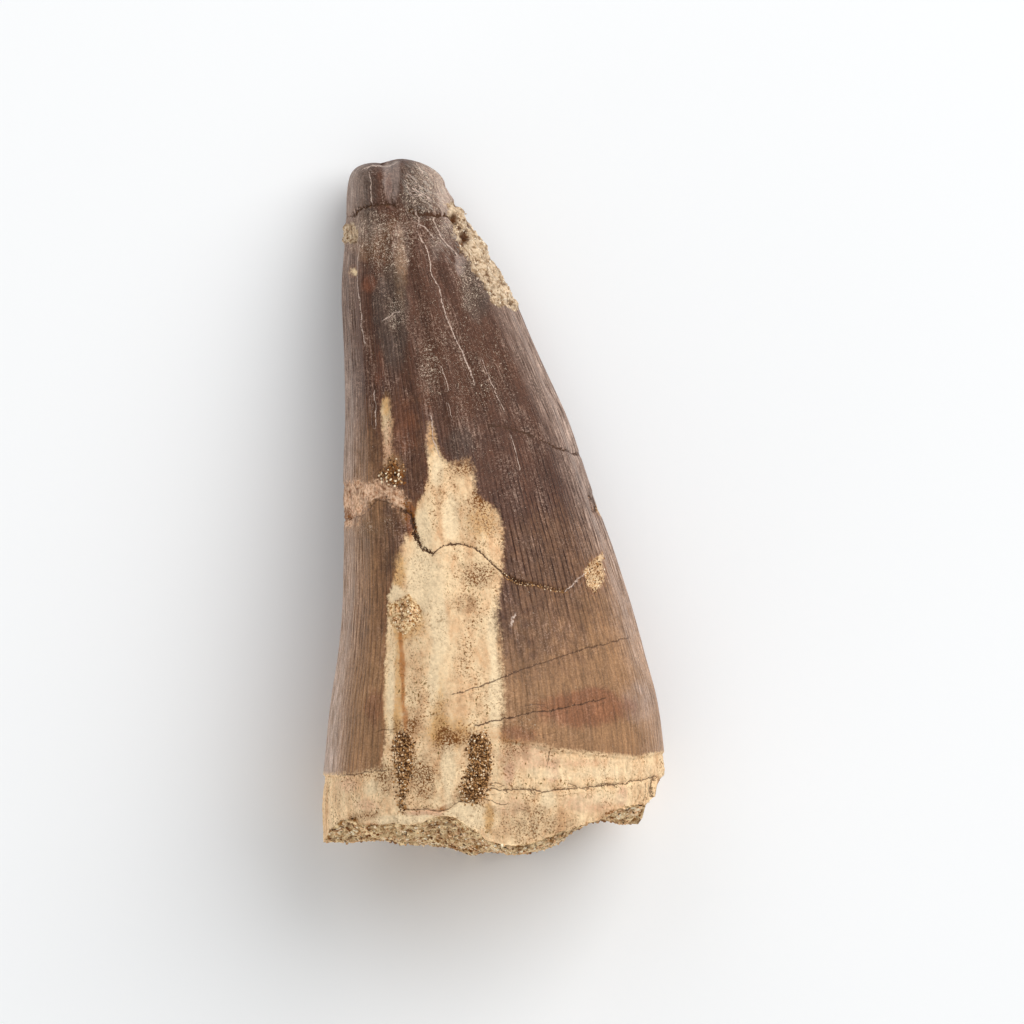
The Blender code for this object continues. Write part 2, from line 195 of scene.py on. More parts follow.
# The pale strips along both edges, partly dust and pale striations and partly painted sheen and light:
# how wide they are, and how strong at each distance from the tip.
LEFT_FLANK = 2.8
RIGHT_FLANK = 3.3
LEFT_DUST_AND_SHEEN = (
    (0.0, 1.0), (8.0, 0.9), (14.0, 0.6), (27.0, 0.6), (36.0, 0.9), (49.0, 1.1), (56.0, 1.3),
    (61.0, 1.6),
)
RIGHT_DUST_AND_SHEEN = ((0.0, 1.0), (8.0, 0.9), (14.0, 0.7), (24.0, 0.9), (36.0, 0.9), (48.0, 0.7), (56.0, 0.4))
# How far bare dentine and the root lie below the enamel.
ENAMEL_STEP = 0.15
ROOT_STEP = 0.2

# Open cracks: half width, depth, how dark it is, and the line as (x, d).
CRACKS = (
    (0.06, 0.15, 0.5, (
        (-15.2, 36.4), (-14.0, 36.0), (-13.2, 35.8), (-12.4, 35.1), (-11.8, 34.4), (-11.0, 34.5),
        (-10.4, 34.7), (-9.4, 35.3),
    )),
    (0.16, 0.2, 1.0, (
        (-9.4, 35.3), (-8.6, 35.6), (-8.25, 36.0), (-8.3, 36.6), (-8.0, 37.2), (-8.05, 37.8),
        (-7.7, 38.3), (-7.4, 39.1), (-6.7, 39.4), (-6.2, 39.7),
    )),
    (0.08, 0.14, 0.95, (
        (-6.2, 39.7), (-5.4, 39.1), (-4.7, 38.8), (-3.9, 38.7), (-2.9, 38.8), (-1.9, 39.1),
        (-1.2, 39.7), (-0.4, 40.5), (0.4, 41.2), (1.2, 41.9),
    )),
    (0.15, 0.15, 0.5, (
        (1.2, 41.9), (2.2, 42.4), (3.2, 42.7), (4.7, 43.0), (5.9, 43.2), (7.3, 43.4),
    )),
    (0.17, 0.35, 1.0, ((1.9, 42.2), (2.4, 42.5), (2.9, 42.6))),
    (0.13, 0.28, 1.0, (
        (-14.3, 5.9), (-13.5, 5.2), (-12.8, 4.9), (-11.9, 4.7), (-11.2, 4.6), (-10.3, 4.5),
        (-10.0, 4.7),
    )),
    (0.07, 0.1, 0.6, ((-10.2, 4.7), (-10.3, 3.9), (-10.2, 3.1))),
    (0.2, 0.4, 1.0, ((-8.5, 5.2), (-8.0, 5.5), (-7.4, 5.7))),
    (0.15, 0.28, 1.0, ((-7.8, 5.5), (-7.2, 5.7), (-6.2, 5.7), (-5.4, 5.8), (-4.6, 5.8))),
    (0.06, 0.2, 0.8, (
        (-0.7, 63.3), (-0.2, 63.0), (0.7, 63.3), (1.4, 63.1), (3.7, 63.2), (5.2, 63.4), (6.7, 63.2),
        (8.7, 63.1), (10.7, 62.9), (12.7, 62.7), (13.9, 62.5), (15.2, 62.3), (16.4, 62.1),
    )),
    (0.045, 0.12, 0.7, ((1.2, 63.6), (2.6, 62.95), (4.2, 63.7), (5.6, 63.3))),
    (0.045, 0.12, 0.7, ((7.6, 62.7), (9.4, 63.3), (11.2, 62.6), (12.4, 63.0))),
    (0.05, 0.15, 0.7, ((-1.2, 64.1), (-0.3, 64.2), (0.5, 64.7), (1.4, 64.7))),
    (0.05, 0.15, 0.7, ((-1.4, 63.2), (-0.6, 62.7), (0.3, 62.5), (1.1, 62.8))),
    (0.06, 0.25, 0.6, (
        (-9.2, 65.1), (-7.9, 65.2), (-6.7, 65.2), (-5.4, 65.4), (-4.7, 65.1), (-3.8, 64.6),
        (-3.2, 64.4), (-2.4, 64.4),
    )),
    (0.065, 0.08, 0.8, (
        (-4.1, 53.7), (-1.9, 53.1), (0.7, 52.1), (3.7, 51.0), (6.7, 50.0), (9.2, 49.2), (11.2, 48.7),
        (13.4, 48.2),
    )),
    (0.065, 0.08, 0.9, (
        (-1.8, 56.8), (0.7, 56.2), (3.7, 55.6), (6.7, 55.1), (9.2, 54.6), (11.1, 54.1),
    )),
    (0.05, 0.06, 0.6, ((-11.8, 57.6), (-11.0, 57.3), (-10.0, 57.2))),
    (0.05, 0.06, 0.5, ((3.1, 54.9), (4.1, 54.7), (4.9, 54.7))),
    (0.04, 0.05, 0.4, ((4.4, 57.8), (5.3, 57.7), (6.2, 57.6))),
    (0.05, 0.06, 0.35, ((-5.9, 26.3), (-4.4, 26.3), (-2.9, 26.3), (-1.5, 26.5))),
    (0.1, 0.12, 1.0, ((-0.6, 27.0), (0.5, 27.0), (1.2, 27.2), (2.3, 27.4), (3.1, 27.6), (3.9, 28.1))),
    (0.085, 0.12, 1.0, ((4.3, 28.3), (5.7, 28.8), (6.7, 29.3), (7.9, 29.6), (9.0, 30.4))),
    (0.05, 0.06, 0.4, ((-12.3, 18.2), (-12.1, 20.7), (-12.0, 23.4), (-12.2, 26.2))),
    (0.085, 0.16, 1.0, ((9.6, 33.9), (9.8, 34.5), (9.95, 35.0), (10.05, 35.5))),
    (0.05, 0.1, 0.7, ((5.6, 59.5), (5.5, 60.6))),
    (0.06, 0.08, 0.7, ((-14.9, 61.9), (-13.6, 61.8), (-12.2, 61.4), (-10.9, 61.2))),
    (0.09, 0.2, 0.8, ((16.1, 62.1), (15.9, 63.1), (15.8, 64.0))),
    (0.06, 0.1, 0.5, ((15.3, 62.8), (15.2, 63.6), (15.1, 64.4))),
)
# The same for the underside, where the two large cracks run on round the tooth.
UNDERSIDE_CRACKS = (
    (0.09, 0.12, 0.8, (
        (-15.6, 36.4), (-12.0, 37.6), (-8.5, 36.2), (-4.0, 37.9), (0.5, 37.2), (4.5, 39.4), (8.0, 39.0),
        (12.6, 41.3),
    )),
    (0.08, 0.12, 0.8, ((-15.2, 5.9), (-11.5, 6.7), (-7.0, 5.7), (-3.9, 6.1))),
)
# How tan the underside is, along d.
TAN_BELOW = ((28.0, 0.0), (62.0, 0.8))

# Healed hairlines and scratches that show pale, and the tip's pale rim, partly a painted highlight:
# half width and the line as (x, d).
PALE_LINES = (
    (0.042, (
        (-7.7, 7.6), (-7.2, 8.3), (-6.7, 9.1), (-6.4, 10.3), (-6.3, 11.6), (-5.5, 13.1), (-5.2, 14.6),
        (-4.7, 16.2), (-4.1, 17.6), (-3.1, 19.6), (-1.9, 22.7),
    )),
    (0.045, ((-6.2, 6.1), (-5.3, 8.1), (-4.3, 9.0), (-3.7, 9.7))),
    (0.04, ((-13.4, 8.9), (-13.6, 10.3), (-13.6, 12.8), (-13.3, 14.6), (-13.2, 16.8), (-12.9, 18.7))),
    (0.04, ((-12.5, 1.6), (-12.4, 3.1), (-12.3, 4.6))),
    (0.03, ((-3.4, 19.0), (-2.9, 20.2), (-2.3, 21.4))),
    (0.03, ((-1.3, 20.4), (-0.6, 22.1), (0.3, 24.1), (1.0, 25.4))),
    (0.025, ((1.6, 27.8), (2.2, 29.7), (2.5, 31.2))),
    (0.025, ((-5.3, 21.1), (-4.8, 22.6), (-4.6, 23.4))),
    (0.025, ((-4.6, 24.8), (-4.2, 26.2))),
    (0.04, ((-7.8, 5.2), (-7.5, 6.0), (-7.7, 7.0))),
    (0.04, ((-7.6, 6.6), (-6.8, 7.1), (-6.2, 8.0))),
    (0.03, ((-12.1, 23.4), (-12.0, 25.0), (-11.9, 27.0))),
    (0.04, ((-6.3, 26.0), (-6.1, 28.4), (-5.4, 30.0))),
    (0.05, ((-11.1, 16.4), (-10.3, 15.6), (-9.6, 15.5))),
    # Along the tip's upper edge: a worn pale rim, partly a painted highlight on it.
    (0.08, ((-13.2, 1.2), (-12.4, 0.8), (-11.6, 0.65), (-10.9, 0.65), (-10.4, 0.5), (-9.9, 0.35))),
    (0.03, ((-8.6, 1.6), (-7.9, 2.4), (-7.4, 3.0))),
    (0.035, ((-8.2, 3.1), (-7.4, 3.5), (-6.6, 3.9))),
    (0.03, ((-8.0, 3.7), (-7.2, 3.9), (-6.3, 4.2))),
    (0.03, ((-7.9, 0.5), (-7.4, 1.1), (-7.2, 1.6))),
    (0.025, ((-9.0, 2.2), (-8.6, 3.2), (-8.0, 4.3))),
    (0.06, ((7.3, 43.4), (7.9, 42.9), (8.4, 42.3), (8.9, 41.8))),
    (0.1, ((1.7, 46.7), (1.9, 46.2), (2.1, 45.9))),
)

# Soft-edged stains and worn places on the upper face: x, d, half width, half length, strength.
STAINS = {
    "tan": (
        (8.0, 66.0, 22.0, 15.0, 1.0), (-14.5, 54.0, 4.5, 22.0, 0.6), (-15.0, 34.0, 3.0, 8.0, 0.35),
        (13.0, 47.0, 3.6, 8.0, 0.35), (-9.0, 30.0, 2.4, 8.0, 0.15), (-10.0, 9.5, 1.4, 3.6, 0.2),
        (-13.0, 8.0, 1.6, 2.2, 0.3), (7.0, 41.0, 6.0, 6.0, 0.25),
    ),
    "grey": (
        (-10.4, 15.0, 1.6, 4.0, 0.8), (-1.9, 13.0, 1.5, 3.2, 0.7), (-7.6, 3.0, 1.8, 3.0, 0.8),
        (-12.9, 2.8, 1.2, 2.6, 0.5), (-9.9, 19.5, 1.2, 3.0, 0.4), (-12.6, 7.0, 1.6, 1.6, 0.5),
        (-3.4, 28.8, 1.6, 1.8, 0.5), (-12.6, 38.0, 1.6, 2.0, 0.4),
    ),
    "red": (
        (-12.5, 12.7, 0.7, 1.0, 0.6), (-11.5, 21.9, 0.6, 3.2, 0.4), (-10.6, 3.4, 0.4, 2.4, 0.35),
        (-12.0, 55.2, 1.0, 1.8, 0.5), (9.0, 55.2, 4.6, 1.7, 0.7), (10.0, 54.4, 1.5, 1.5, 0.4),
        (-9.0, 27.0, 1.4, 3.4, 0.4), (-6.7, 25.2, 0.4, 1.6, 0.3), (-8.4, 36.4, 0.35, 1.6, 1.0),
        (-9.35, 48.2, 0.18, 1.0, 0.9), (-9.2, 50.8, 0.26, 1.6, 0.9), (-9.15, 53.8, 0.18, 1.5, 0.8),
        (-8.9, 56.2, 0.24, 1.0, 0.9), (-4.8, 65.1, 0.7, 0.25, 1.0), (-10.6, 33.4, 0.5, 0.5, 0.7),
        (2.0, 57.8, 2.2, 0.9, 0.5),
    ),
    "ochre": (
        (-10.8, 24.8, 0.5, 1.2, 0.7), (-6.3, 28.6, 0.35, 1.4, 0.6), (-9.9, 31.2, 0.9, 1.2, 0.8),
        (-9.6, 41.6, 0.7, 1.8, 0.7), (-9.5, 52.5, 0.5, 5.2, 0.6), (-8.6, 35.6, 0.8, 1.2, 0.6),
        (-9.4, 11.5, 0.7, 4.0, 0.5), (-8.6, 46.6, 1.6, 1.6, 0.6), (-4.3, 57.5, 2.2, 1.4, 0.6),
        (-1.2, 36.4, 1.4, 1.6, 0.5), (-5.6, 55.0, 0.7, 3.0, 0.5), (-0.5, 66.0, 0.5, 1.4, 0.8),
        (-10.2, 56.5, 0.6, 1.2, 0.6),
    ),
    "brown": (
        (-1.4, 41.8, 1.8, 1.3, 0.85), (-3.1, 44.6, 1.6, 0.9, 0.6), (-3.0, 31.2, 1.7, 0.9, 0.8),
        (10.0, 41.6, 0.9, 1.6, 0.7), (10.1, 35.2, 0.5, 1.0, 0.9), (-1.3, 34.0, 0.9, 1.4, 0.7),
        (-5.4, 33.4, 0.4, 2.0, 0.6), (-0.2, 36.6, 0.8, 1.6, 0.6), (-2.4, 36.2, 1.4, 2.4, 0.5),
        (-7.9, 51.5, 1.0, 5.5, 0.5), (-5.3, 56.0, 0.8, 2.4, 0.6), (-3.4, 50.0, 1.0, 3.0, 0.4),
        (-7.0, 62.0, 1.5, 2.0, 0.85), (-10.9, 62.2, 1.0, 1.6, 0.75), (-5.0, 58.6, 1.4, 1.2, 0.6),
        (-3.2, 57.9, 1.6, 0.9, 0.7), (-8.9, 57.0, 1.4, 0.9, 0.7), (-9.3, 45.4, 0.9, 1.4, 0.8),
        (1.9, 58.8, 1.6, 1.4, 0.7), (0.9, 61.4, 1.2, 1.0, 0.4), (12.4, 66.0, 1.7, 0.7, 0.9),
        (4.0, 66.6, 4.6, 2.0, 0.6), (-13.2, 65.9, 1.6, 0.5, 0.7), (-15.8, 64.2, 0.5, 1.2, 0.5),
        (-2.9, 63.6, 0.8, 1.0, 0.8),
    ),
    "ivory": (
        (-7.2, 37.2, 0.8, 1.8, 1.0), (-7.6, 42.4, 1.0, 3.0, 1.0), (-6.0, 43.2, 1.0, 3.6, 0.7),
        (-5.7, 31.6, 0.5, 1.4, 0.9), (-4.3, 36.0, 0.8, 2.4, 0.8), (-0.2, 47.6, 0.5, 2.6, 0.8),
        (0.1, 53.6, 0.6, 3.2, 0.8), (-10.0, 43.7, 0.9, 0.7, 1.0), (-8.0, 66.3, 4.0, 0.5, 1.0),
        (-3.0, 65.8, 1.8, 1.3, 1.0), (-5.3, 47.6, 0.8, 2.4, 0.7), (-6.1, 52.2, 0.6, 2.6, 0.7),
        (-14.6, 63.6, 1.8, 1.4, 0.3), (-12.2, 63.0, 0.8, 0.8, 0.5), (-4.6, 61.0, 0.7, 3.0, 0.7),
        (7.5, 61.6, 4.5, 0.6, 0.45), (13.0, 61.2, 3.0, 0.9, 0.35), (5.5, 64.2, 0.7, 0.9, 0.8),
        (11.0, 64.2, 2.6, 0.7, 0.5), (-12.2, 33.2, 0.3, 1.0, 0.8), (-10.4, 54.0, 0.35, 4.0, 0.8),
        (-10.9, 27.6, 0.3, 1.2, 0.4), (-14.1, 11.5, 0.5, 0.5, 1.0),
    ),
    "pink": (
        (-9.7, 34.3, 0.9, 0.9, 1.0), (5.9, 61.6, 0.5, 0.8, 0.9), (12.9, 63.9, 0.5, 1.0, 0.7),
        (1.5, 61.8, 0.5, 0.9, 0.8), (-6.9, 65.6, 1.9, 0.35, 0.9), (-4.6, 65.0, 0.5, 0.3, 1.0),
        (1.6, 64.9, 1.6, 1.0, 0.4), (3.2, 60.0, 2.8, 1.3, 0.55), (9.0, 60.6, 3.0, 0.4, 0.4),
        (-14.8, 62.8, 1.0, 0.7, 0.6), (-13.0, 64.8, 1.2, 0.6, 0.5), (9.6, 64.6, 2.6, 1.0, 0.5),
        (-10.7, 29.2, 0.6, 2.2, 1.0), (-6.4, 28.0, 0.4, 1.4, 0.7),
    ),
    # Mauve-grey enamel, partly its own worn tone and partly painted sheen on the tip's right shoulder
    # and along the rims.
    "lilac_and_sheen": (
        (14.2, 54.6, 1.8, 2.4, 0.4), (-4.7, 3.0, 1.0, 2.6, 0.8), (-5.4, 8.4, 1.4, 2.0, 0.35),
        (-3.4, 10.8, 0.5, 1.0, 0.7), (-15.0, 26.0, 1.6, 8.0, 0.45), (-10.3, 1.8, 0.8, 2.6, 0.8),
        (-12.6, 7.6, 1.4, 1.6, 0.35), (-9.4, 9.5, 1.0, 3.0, 0.4),
    ),
    "ribbed": (
        (6.4, 38.5, 7.2, 7.0, 1.0), (-13.2, 44.0, 3.0, 16.0, 0.5), (4.0, 24.0, 5.0, 6.0, 0.25),
    ),
    "scratched": (
        (-6.9, 2.9, 2.0, 2.2, 1.0), (-4.2, 8.4, 1.4, 2.0, 0.5), (-12.8, 3.0, 1.0, 2.0, 0.2),
    ),
    "rust": (
        (-9.9, 31.9, 1.2, 1.2, 0.9), (-8.5, 35.7, 0.6, 1.1, 0.95), (-8.0, 37.6, 0.4, 0.9, 0.8),
        (-9.5, 34.5, 0.8, 0.5, 0.5), (10.0, 40.4, 0.5, 0.8, 0.5), (-14.9, 36.0, 0.7, 0.7, 0.9),
        (-14.6, 33.4, 0.5, 0.6, 0.5), (-13.4, 61.8, 1.2, 0.3, 0.7), (-3.3, 9.2, 0.4, 1.4, 0.5),
    ),
    "fade": (
        (-2.6, 31.4, 2.6, 1.6, 0.8), (0.8, 51.0, 1.4, 7.0, 1.0), (-6.4, 28.0, 0.8, 2.0, 0.8),
        (3.2, 58.6, 3.4, 1.3, 1.0), (10.0, 59.8, 5.0, 0.6, 0.3), (-13.4, 61.4, 3.4, 0.8, 0.6),
        (0.6, 37.0, 1.0, 2.6, 0.4), (-10.3, 27.6, 0.8, 3.4, 0.4), (-9.6, 38.6, 1.0, 2.6, 0.6),
    ),
    "worn": (
        (-5.6, 2.8, 2.4, 3.2, 1.0), (-12.6, 7.4, 2.4, 2.0, 1.0), (-2.4, 12.0, 1.2, 2.8, 1.0),
        (-10.0, 8.6, 1.6, 2.6, 0.9), (-8.0, 4.0, 1.4, 1.8, 0.9), (-10.0, 15.6, 0.9, 1.8, 0.9),
        (-5.2, 7.6, 1.4, 1.8, 0.7), (-7.6, 12.0, 3.0, 8.0, 0.35), (-2.8, 20.0, 4.0, 5.0, 0.5),
        (0.6, 27.0, 5.0, 7.0, 0.3), (-12.9, 37.2, 1.0, 0.8, 0.9), (-10.6, 36.6, 0.7, 0.7, 0.8),
        (-6.6, 22.0, 1.0, 3.0, 0.6), (3.0, 56.8, 1.2, 0.9, 0.6), (-11.4, 9.8, 2.0, 2.0, 0.6),
    ),
}

# Colours, as sRGB: the enamel, the dentine under it, then crusts, sand, dirt and the painted shade in
# hollows.
ENAMEL_BROWN = "#543628"
ENAMEL_TAN = "#97704e"
ENAMEL_GREY = "#50443c"
ENAMEL_RED = "#80492f"
ENAMEL_LILAC_AND_SHEEN = "#968278"
ENAMEL_OCHRE = "#96704a"
ENAMEL_RIM_DUST_AND_SHEEN = "#c3aa9a"
ENAMEL_DUST_AND_GLINT = "#ccae9a"
RIB_VALLEY = "#745443"
FRINGE_RUST = "#8a5530"
PALE_FLECK = "#e2ccb4"
DARK_FLECK = "#34221a"
PALE_SCRATCH = "#ccb4a4"
SILVER_SCRATCH = "#b0a498"
DENTINE_CREAM = "#f6d6aa"
DENTINE_TAN = "#deb286"
DENTINE_BROWN = "#86582a"
DENTINE_PINK = "#d6a88a"
DENTINE_RED = "#b06c34"
STAIN_BROWN = "#784a22"
OCHRE = "#d2a062"
IVORY = "#f3d7ae"
PORE_OLIVE = "#7a6030"
HOLLOW_SHADE_BROWN = "#6a482a"
SPALL_PINK = "#f6cca8"
SPALL_BROWN = "#b07a54"
LUMP_TAN = "#a8743c"
LUMP_CREAM = "#fcdaa8"
CRUST_BEIGE = "#e2c8a8"
CRUST_TAN = "#987856"
SAND_DARK = "#4a2c14"
SAND_BROWN = "#b8885a"
CRACK_DARK = "#472c1a"
BREAK_BROWN = "#96642f"
BREAK_CREAM = "#ffdfac"
RUST_BROWN = "#85501f"
BOARD_WHITE = "#fcfcfc"
# The dark, middle and pale tones of the grains.
SAND_TONES = ("#4c2a0c", "#c4925c", "#ffeac8")
CRUST_TONES = ("#86664a", "#d4b896", "#f6e6ce")
CRUMB_TONES = ("#84542a", "#efc292", "#fff0d0")

# How strong the dust and painted sheen along the edges are, and how far each surface mirrors the light.
FLANK_DUST_AND_SHEEN = 0.55
ENAMEL_SHINE = 0.15
DULL_SHINE = 0.1
BOARD_ROUGHNESS = 0.9

# Long flutes, fine ribs, and the slow unevenness of a worn surface.
FLUTES = 19
FLUTE_DEPTH = 0.14
WEAR_DEPTH = 0.14
RIB_DEPTH = 0.022
# The distance from the tip at which the ribs are evenly spaced.
RIB_SECTION = 50.0

# Patterns of unevenness: how wide, long and high their features are in mm, and where each one starts.
PATTERNS = {
    "edge": (0.7, 0.7, 0.7, 11.0), "edge_grain": (0.3, 0.3, 0.3, 4.0), "patchy": (4.0, 9.0, 4.0, 37.0),
    "fine_waver": (0.35, 0.35, 0.35, 21.0), "waver": (0.6, 0.6, 0.6, 27.0),
    "broad_waver": (1.3, 1.3, 1.3, 29.0), "wear": (6.0, 6.0, 6.0, 3.0), "ribs": (1.1, 5.0, 1.1, 31.0),
    "grain": (0.45, 1.6, 0.45, 13.0), "coarse": (1.3, 3.5, 1.3, 17.0), "lumps": (1.1, 1.1, 1.1, 23.0),
    "fine": (0.3, 0.3, 0.3, 19.0), "break_lumps": (3.6, 1.0, 3.0, 7.0), "ledges": (8.0, 1.0, 2.6, 2.0),
    "flakes": (1.1, 1.0, 1.6, 5.0), "crumbs": (0.4, 1.0, 0.8, 9.0),
}
# The outlined places, and how ragged their edges are.
OUTLINED = {
    "bare": (BARE_OUTLINES, 1.0), "spall": ((SPALL_OUTLINE,), 1.5), "crust": (CRUST_OUTLINES, 1.5),
    "lump": ((LUMP_OUTLINE,), 1.5), "sand": (SAND_OUTLINES, 1.5),
}
EDGE_RAGGEDNESS = {"edge": 0.16, "edge_grain": 0.12}
STAIN_RAGGEDNESS = 0.35
# Outlined places run on over the sides until this gives out.
SIDE_MARGIN = 0.8
SIDE_SLOPE = 4.0
SIDE_RAGGEDNESS = 0.9
LINE_WANDER = {"fine_waver": 0.05, "waver": 0.08, "broad_waver": 0.13}
# How far each kind of place stands up in mm: in all, then by its grain, coarse, fine and lumpy noise.
ROUGHNESS = {
    "bare": (0.0, 0.05, 0.09, 0.04, 0.0), "root": (0.0, 0.05, 0.12, 0.07, 0.07),
    "crust": (0.02, 0.0, 0.0, 0.16, 0.46), "sand": (0.22, 0.0, 0.0, 0.12, 0.1),
    "spall": (-0.1, 0.0, 0.0, -0.08, -0.14), "worn": (0.0, 0.0, 0.0, 0.09, 0.0),
}
# How far from an outline and from the enamel's foot the fields still count, in mm, and from a line in
# its own half widths; how far past its end a line fades out; and where its colour begins and is full.
OUTLINE_REACH = 2.0
ROOT_REACH = 3.0
OFF_THE_LINE = 9.0
LINE_END = 0.35
LINE_EDGE = (1.4, 0.56)
# The mask round a line: how far from it, in mm, it ends, and how near it is full.
LINE_SURROUNDINGS = (1.0, 0.4)
# What the fields say on the broken face, where that isn't 0.
ON_THE_BREAK = {
    "root": ROOT_REACH, "crack": OFF_THE_LINE, "pale": OFF_THE_LINE,
    **{name: -OUTLINE_REACH for name in OUTLINED},
}

# Rows: the cap, the crown down to the break, then the broken face.
CAP_ROWS = 16
CROWN_ROWS = (140, 5, 5, 72, 3, 24, 18)
ROOT_ROW = CAP_ROWS + sum(CROWN_ROWS[:4])
BREAK_ROWS = 50
# Columns: over the top three to a rib, and underneath.
RIBS_ABOVE = 74
COLUMNS_PER_RIB = 3
COLUMNS_BELOW = 72
RIBS_BELOW = 55
# The empty rim of the map that the whole body is laid out on.
MAP_MARGIN = 0.005
# How many times the search for a line's place on a column halves its error.
HALVINGS = 12

# Batches of grains: where they lie, how many, the seed of their places, the smallest and the largest
# in mm, how long the longest is for its size, how far they stand out, and how pale they are.
GRAINS = {
    "sand_in_hollows": (
        ("spindle", 600, 1, 0.10, 0.26, 1.4, 0.0, 0.35), ("column", 900, 2, 0.10, 0.26, 1.4, 0.0, 0.3),
        ("hole_foot", 34, 3, 0.14, 0.28, 1.3, 0.2, 0.9), ("hole", 80, 9, 0.1, 0.2, 1.4, 0.0, 0.15),
    ),
    "sand_in_crack": (
        ("crack", 200, 4, 0.06, 0.16, 1.6, 0.0, 0.35), ("chip", 160, 5, 0.08, 0.2, 1.5, 0.0, 0.45),
    ),
    "sand_crust": (("crust", 560, 6, 0.1, 0.3, 1.6, -0.4, 0.5),),
    "crumbs_of_dentine": (
        ("break", 2600, 7, 0.12, 0.42, 2.1, -0.3, 0.5), ("lump", 200, 8, 0.1, 0.26, 1.6, -0.3, 0.4),
    ),
}
# How long and how wide a grain is for its thickness, how unevenly grains lie, and how tones vary.
SHORTEST_GRAIN = 0.8
GRAIN_WIDTHS = (0.7, 1.2)
GRAIN_UNEVENNESS = 0.3
TONE_SPREAD = 0.34
GRAINS_AT_ONCE = 50
# The stretch of the main crack that sand fills: from x to x, its d, and how far to either side of
# that. Then the x and d beyond which the chip beside it lies.
SANDY_CRACK = (0.8, 7.4, 42.0, 3.0)
SANDY_CHIP = (8.8, 38.0)

# The lights: name, width and height in m, strength in watts, place. Then the room's even light, the
# floor's half width in m, and a long lens straight above the tooth.
LIGHTS = (
    ("softbox", 1.2, 1.2, 15.3, (0.74, 0.64, 0.88)), ("window", 0.7, 0.7, 1.2, (-0.45, 0.7, 0.75)),
    ("low_panel", 0.6, 0.08, 1.45, (-0.5, -0.42, 0.045)),
)
ROOM_COLOUR = (0.95, 0.98, 1.0, 1.0)
ROOM_STRENGTH = 0.465
FLOOR_HALF_WIDTH = 1.5
CAMERA_PLACE = (0.00186, -0.00045, 2.0)
FOCAL_LENGTH = 697.6
SENSOR_WIDTH = 36.0
CLIP_START, CLIP_END = 0.1, 10.0


def hermite(at, table, column):
    """A smooth curve through one column of a table, read at values of its first column."""
    knots = np.array([row[0] for row in table])
    values = np.array([row[column] for row in table])
    slopes = np.gradient(values, knots)
    at = np.clip(at, knots[0], knots[-1])
    low = np.clip(np.searchsorted(knots, at, side="right") - 1, 0, len(knots) - 2)
    gap = knots[low + 1] - knots[low]
    t = (at - knots[low]) / gap
    return (
        (1 + 2 * t) * (1 - t) ** 2 * values[low]
        + t * (1 - t) ** 2 * gap * slopes[low]
        + t * t * (3 - 2 * t) * values[low + 1]
        - t * t * (1 - t) * gap * slopes[low + 1]
    )


def straight(at, table):
    """Straight lines through a table of pairs."""
    return np.interp(at, [row[0] for row in table], [row[1] for row in table])


def smoothstep(low, high, value):
    """0 below low, 1 above high, and an even bend between."""
    t = np.clip((value - low) / (high - low), 0.0, 1.0)
    return t * t * (3 - 2 * t)


def bell(offset, half_width):
    """1 at no offset, falling away evenly on both sides."""
    return np.exp(-((offset / half_width) ** 2))


def unevenness(pattern, x, d, z):
    """Smooth noise from -1 to 1 in one of the patterns, at each point of three arrays."""
    wide, long, high, start = PATTERNS[pattern]
    points = np.stack([x / wide, d / long, z / high], axis=-1).reshape(-1, 3) + start
    return np.array([noise.noise(Vector(p)) for p in points]).reshape(x.shape)


def added_up(amounts, x, d, z):
    """The sum of several patterns of unevenness, each with its own amount."""
    return sum(amount * unevenness(pattern, x, d, z) for pattern, amount in amounts.items())


def half_and_middle(d):
    """Half the crown's width without its carinae, and the middle of that width."""
    left = hermite(d, SECTIONS, 1) + CARINA_HEIGHT
    right = hermite(d, SECTIONS, 2) - CARINA_HEIGHT
    return (right - left) / 2, (right + left) / 2


def section(angle, d):
    """The crown's smooth surface at an angle around it (0 right, 90 degrees up) and a distance d."""
    half, middle = half_and_middle(d)
    height = hermite(d, SECTIONS, 3)
    side = SIDE_HEIGHT * height
    upper = np.clip(np.sin(angle), 0.0, 1.0)
    lower = np.clip(-np.sin(angle), 0.0, 1.0)
    x = middle + half * (np.cos(angle) - CREST_SHIFT * upper**2)
    z = side + (height - side) * upper - (side + UNDERSIDE_DROP) * lower
    lift = TIP_LIFT * np.clip(1 - d / TIP_LIFT_END, 0.0, 1.0) ** 2
    return x, z + lift


def upper_angle(x, d):
    """The angle on the upper face at which the section is x across: section() solved for it."""
    half, middle = half_and_middle(d)
    across = np.clip((x - middle) / half, -1.0, 1.0)
    cosine = (np.sqrt(1 + 4 * CREST_SHIFT * (CREST_SHIFT + across)) - 1) / (2 * CREST_SHIFT)
    return np.arccos(np.clip(cosine, -1.0, 1.0))


def rest_flat(z):
    """Lays the underside flat on z = 0, with a soft bend at the flat's edge."""
    blend = np.clip(z + FLAT_SOFTNESS, 0.0, None) ** 2 / (4 * FLAT_SOFTNESS)
    return np.where(z > FLAT_SOFTNESS, z, blend)


def follow(angle, line, start):
    """The distance d at which a line of (x, d) crosses each column."""
    d = np.full_like(angle, start)
    for _ in range(HALVINGS):
        x, _z = section(angle, d)
        d = (d + straight(x, line)) / 2
    return d


def column_angles():
    """The angle of each column, at even steps along the rib section, and the rib it lies on."""
    fine = np.linspace(0.0, math.pi, 2001)
    x, z = section(fine, np.full_like(fine, RIB_SECTION))
    arc = np.concatenate([[0.0], np.cumsum(np.hypot(np.diff(x), np.diff(z)))])
    count = RIBS_ABOVE * COLUMNS_PER_RIB
    above = np.interp(np.arange(count) / count, arc / arc[-1], fine)
    below = math.pi * (1 + np.arange(COLUMNS_BELOW) / COLUMNS_BELOW)
    ribs_above = np.arange(count) / COLUMNS_PER_RIB
    ribs_below = RIBS_ABOVE + np.arange(COLUMNS_BELOW) * RIBS_BELOW / COLUMNS_BELOW
    return np.concatenate([above, below]), np.concatenate([ribs_above, ribs_below])


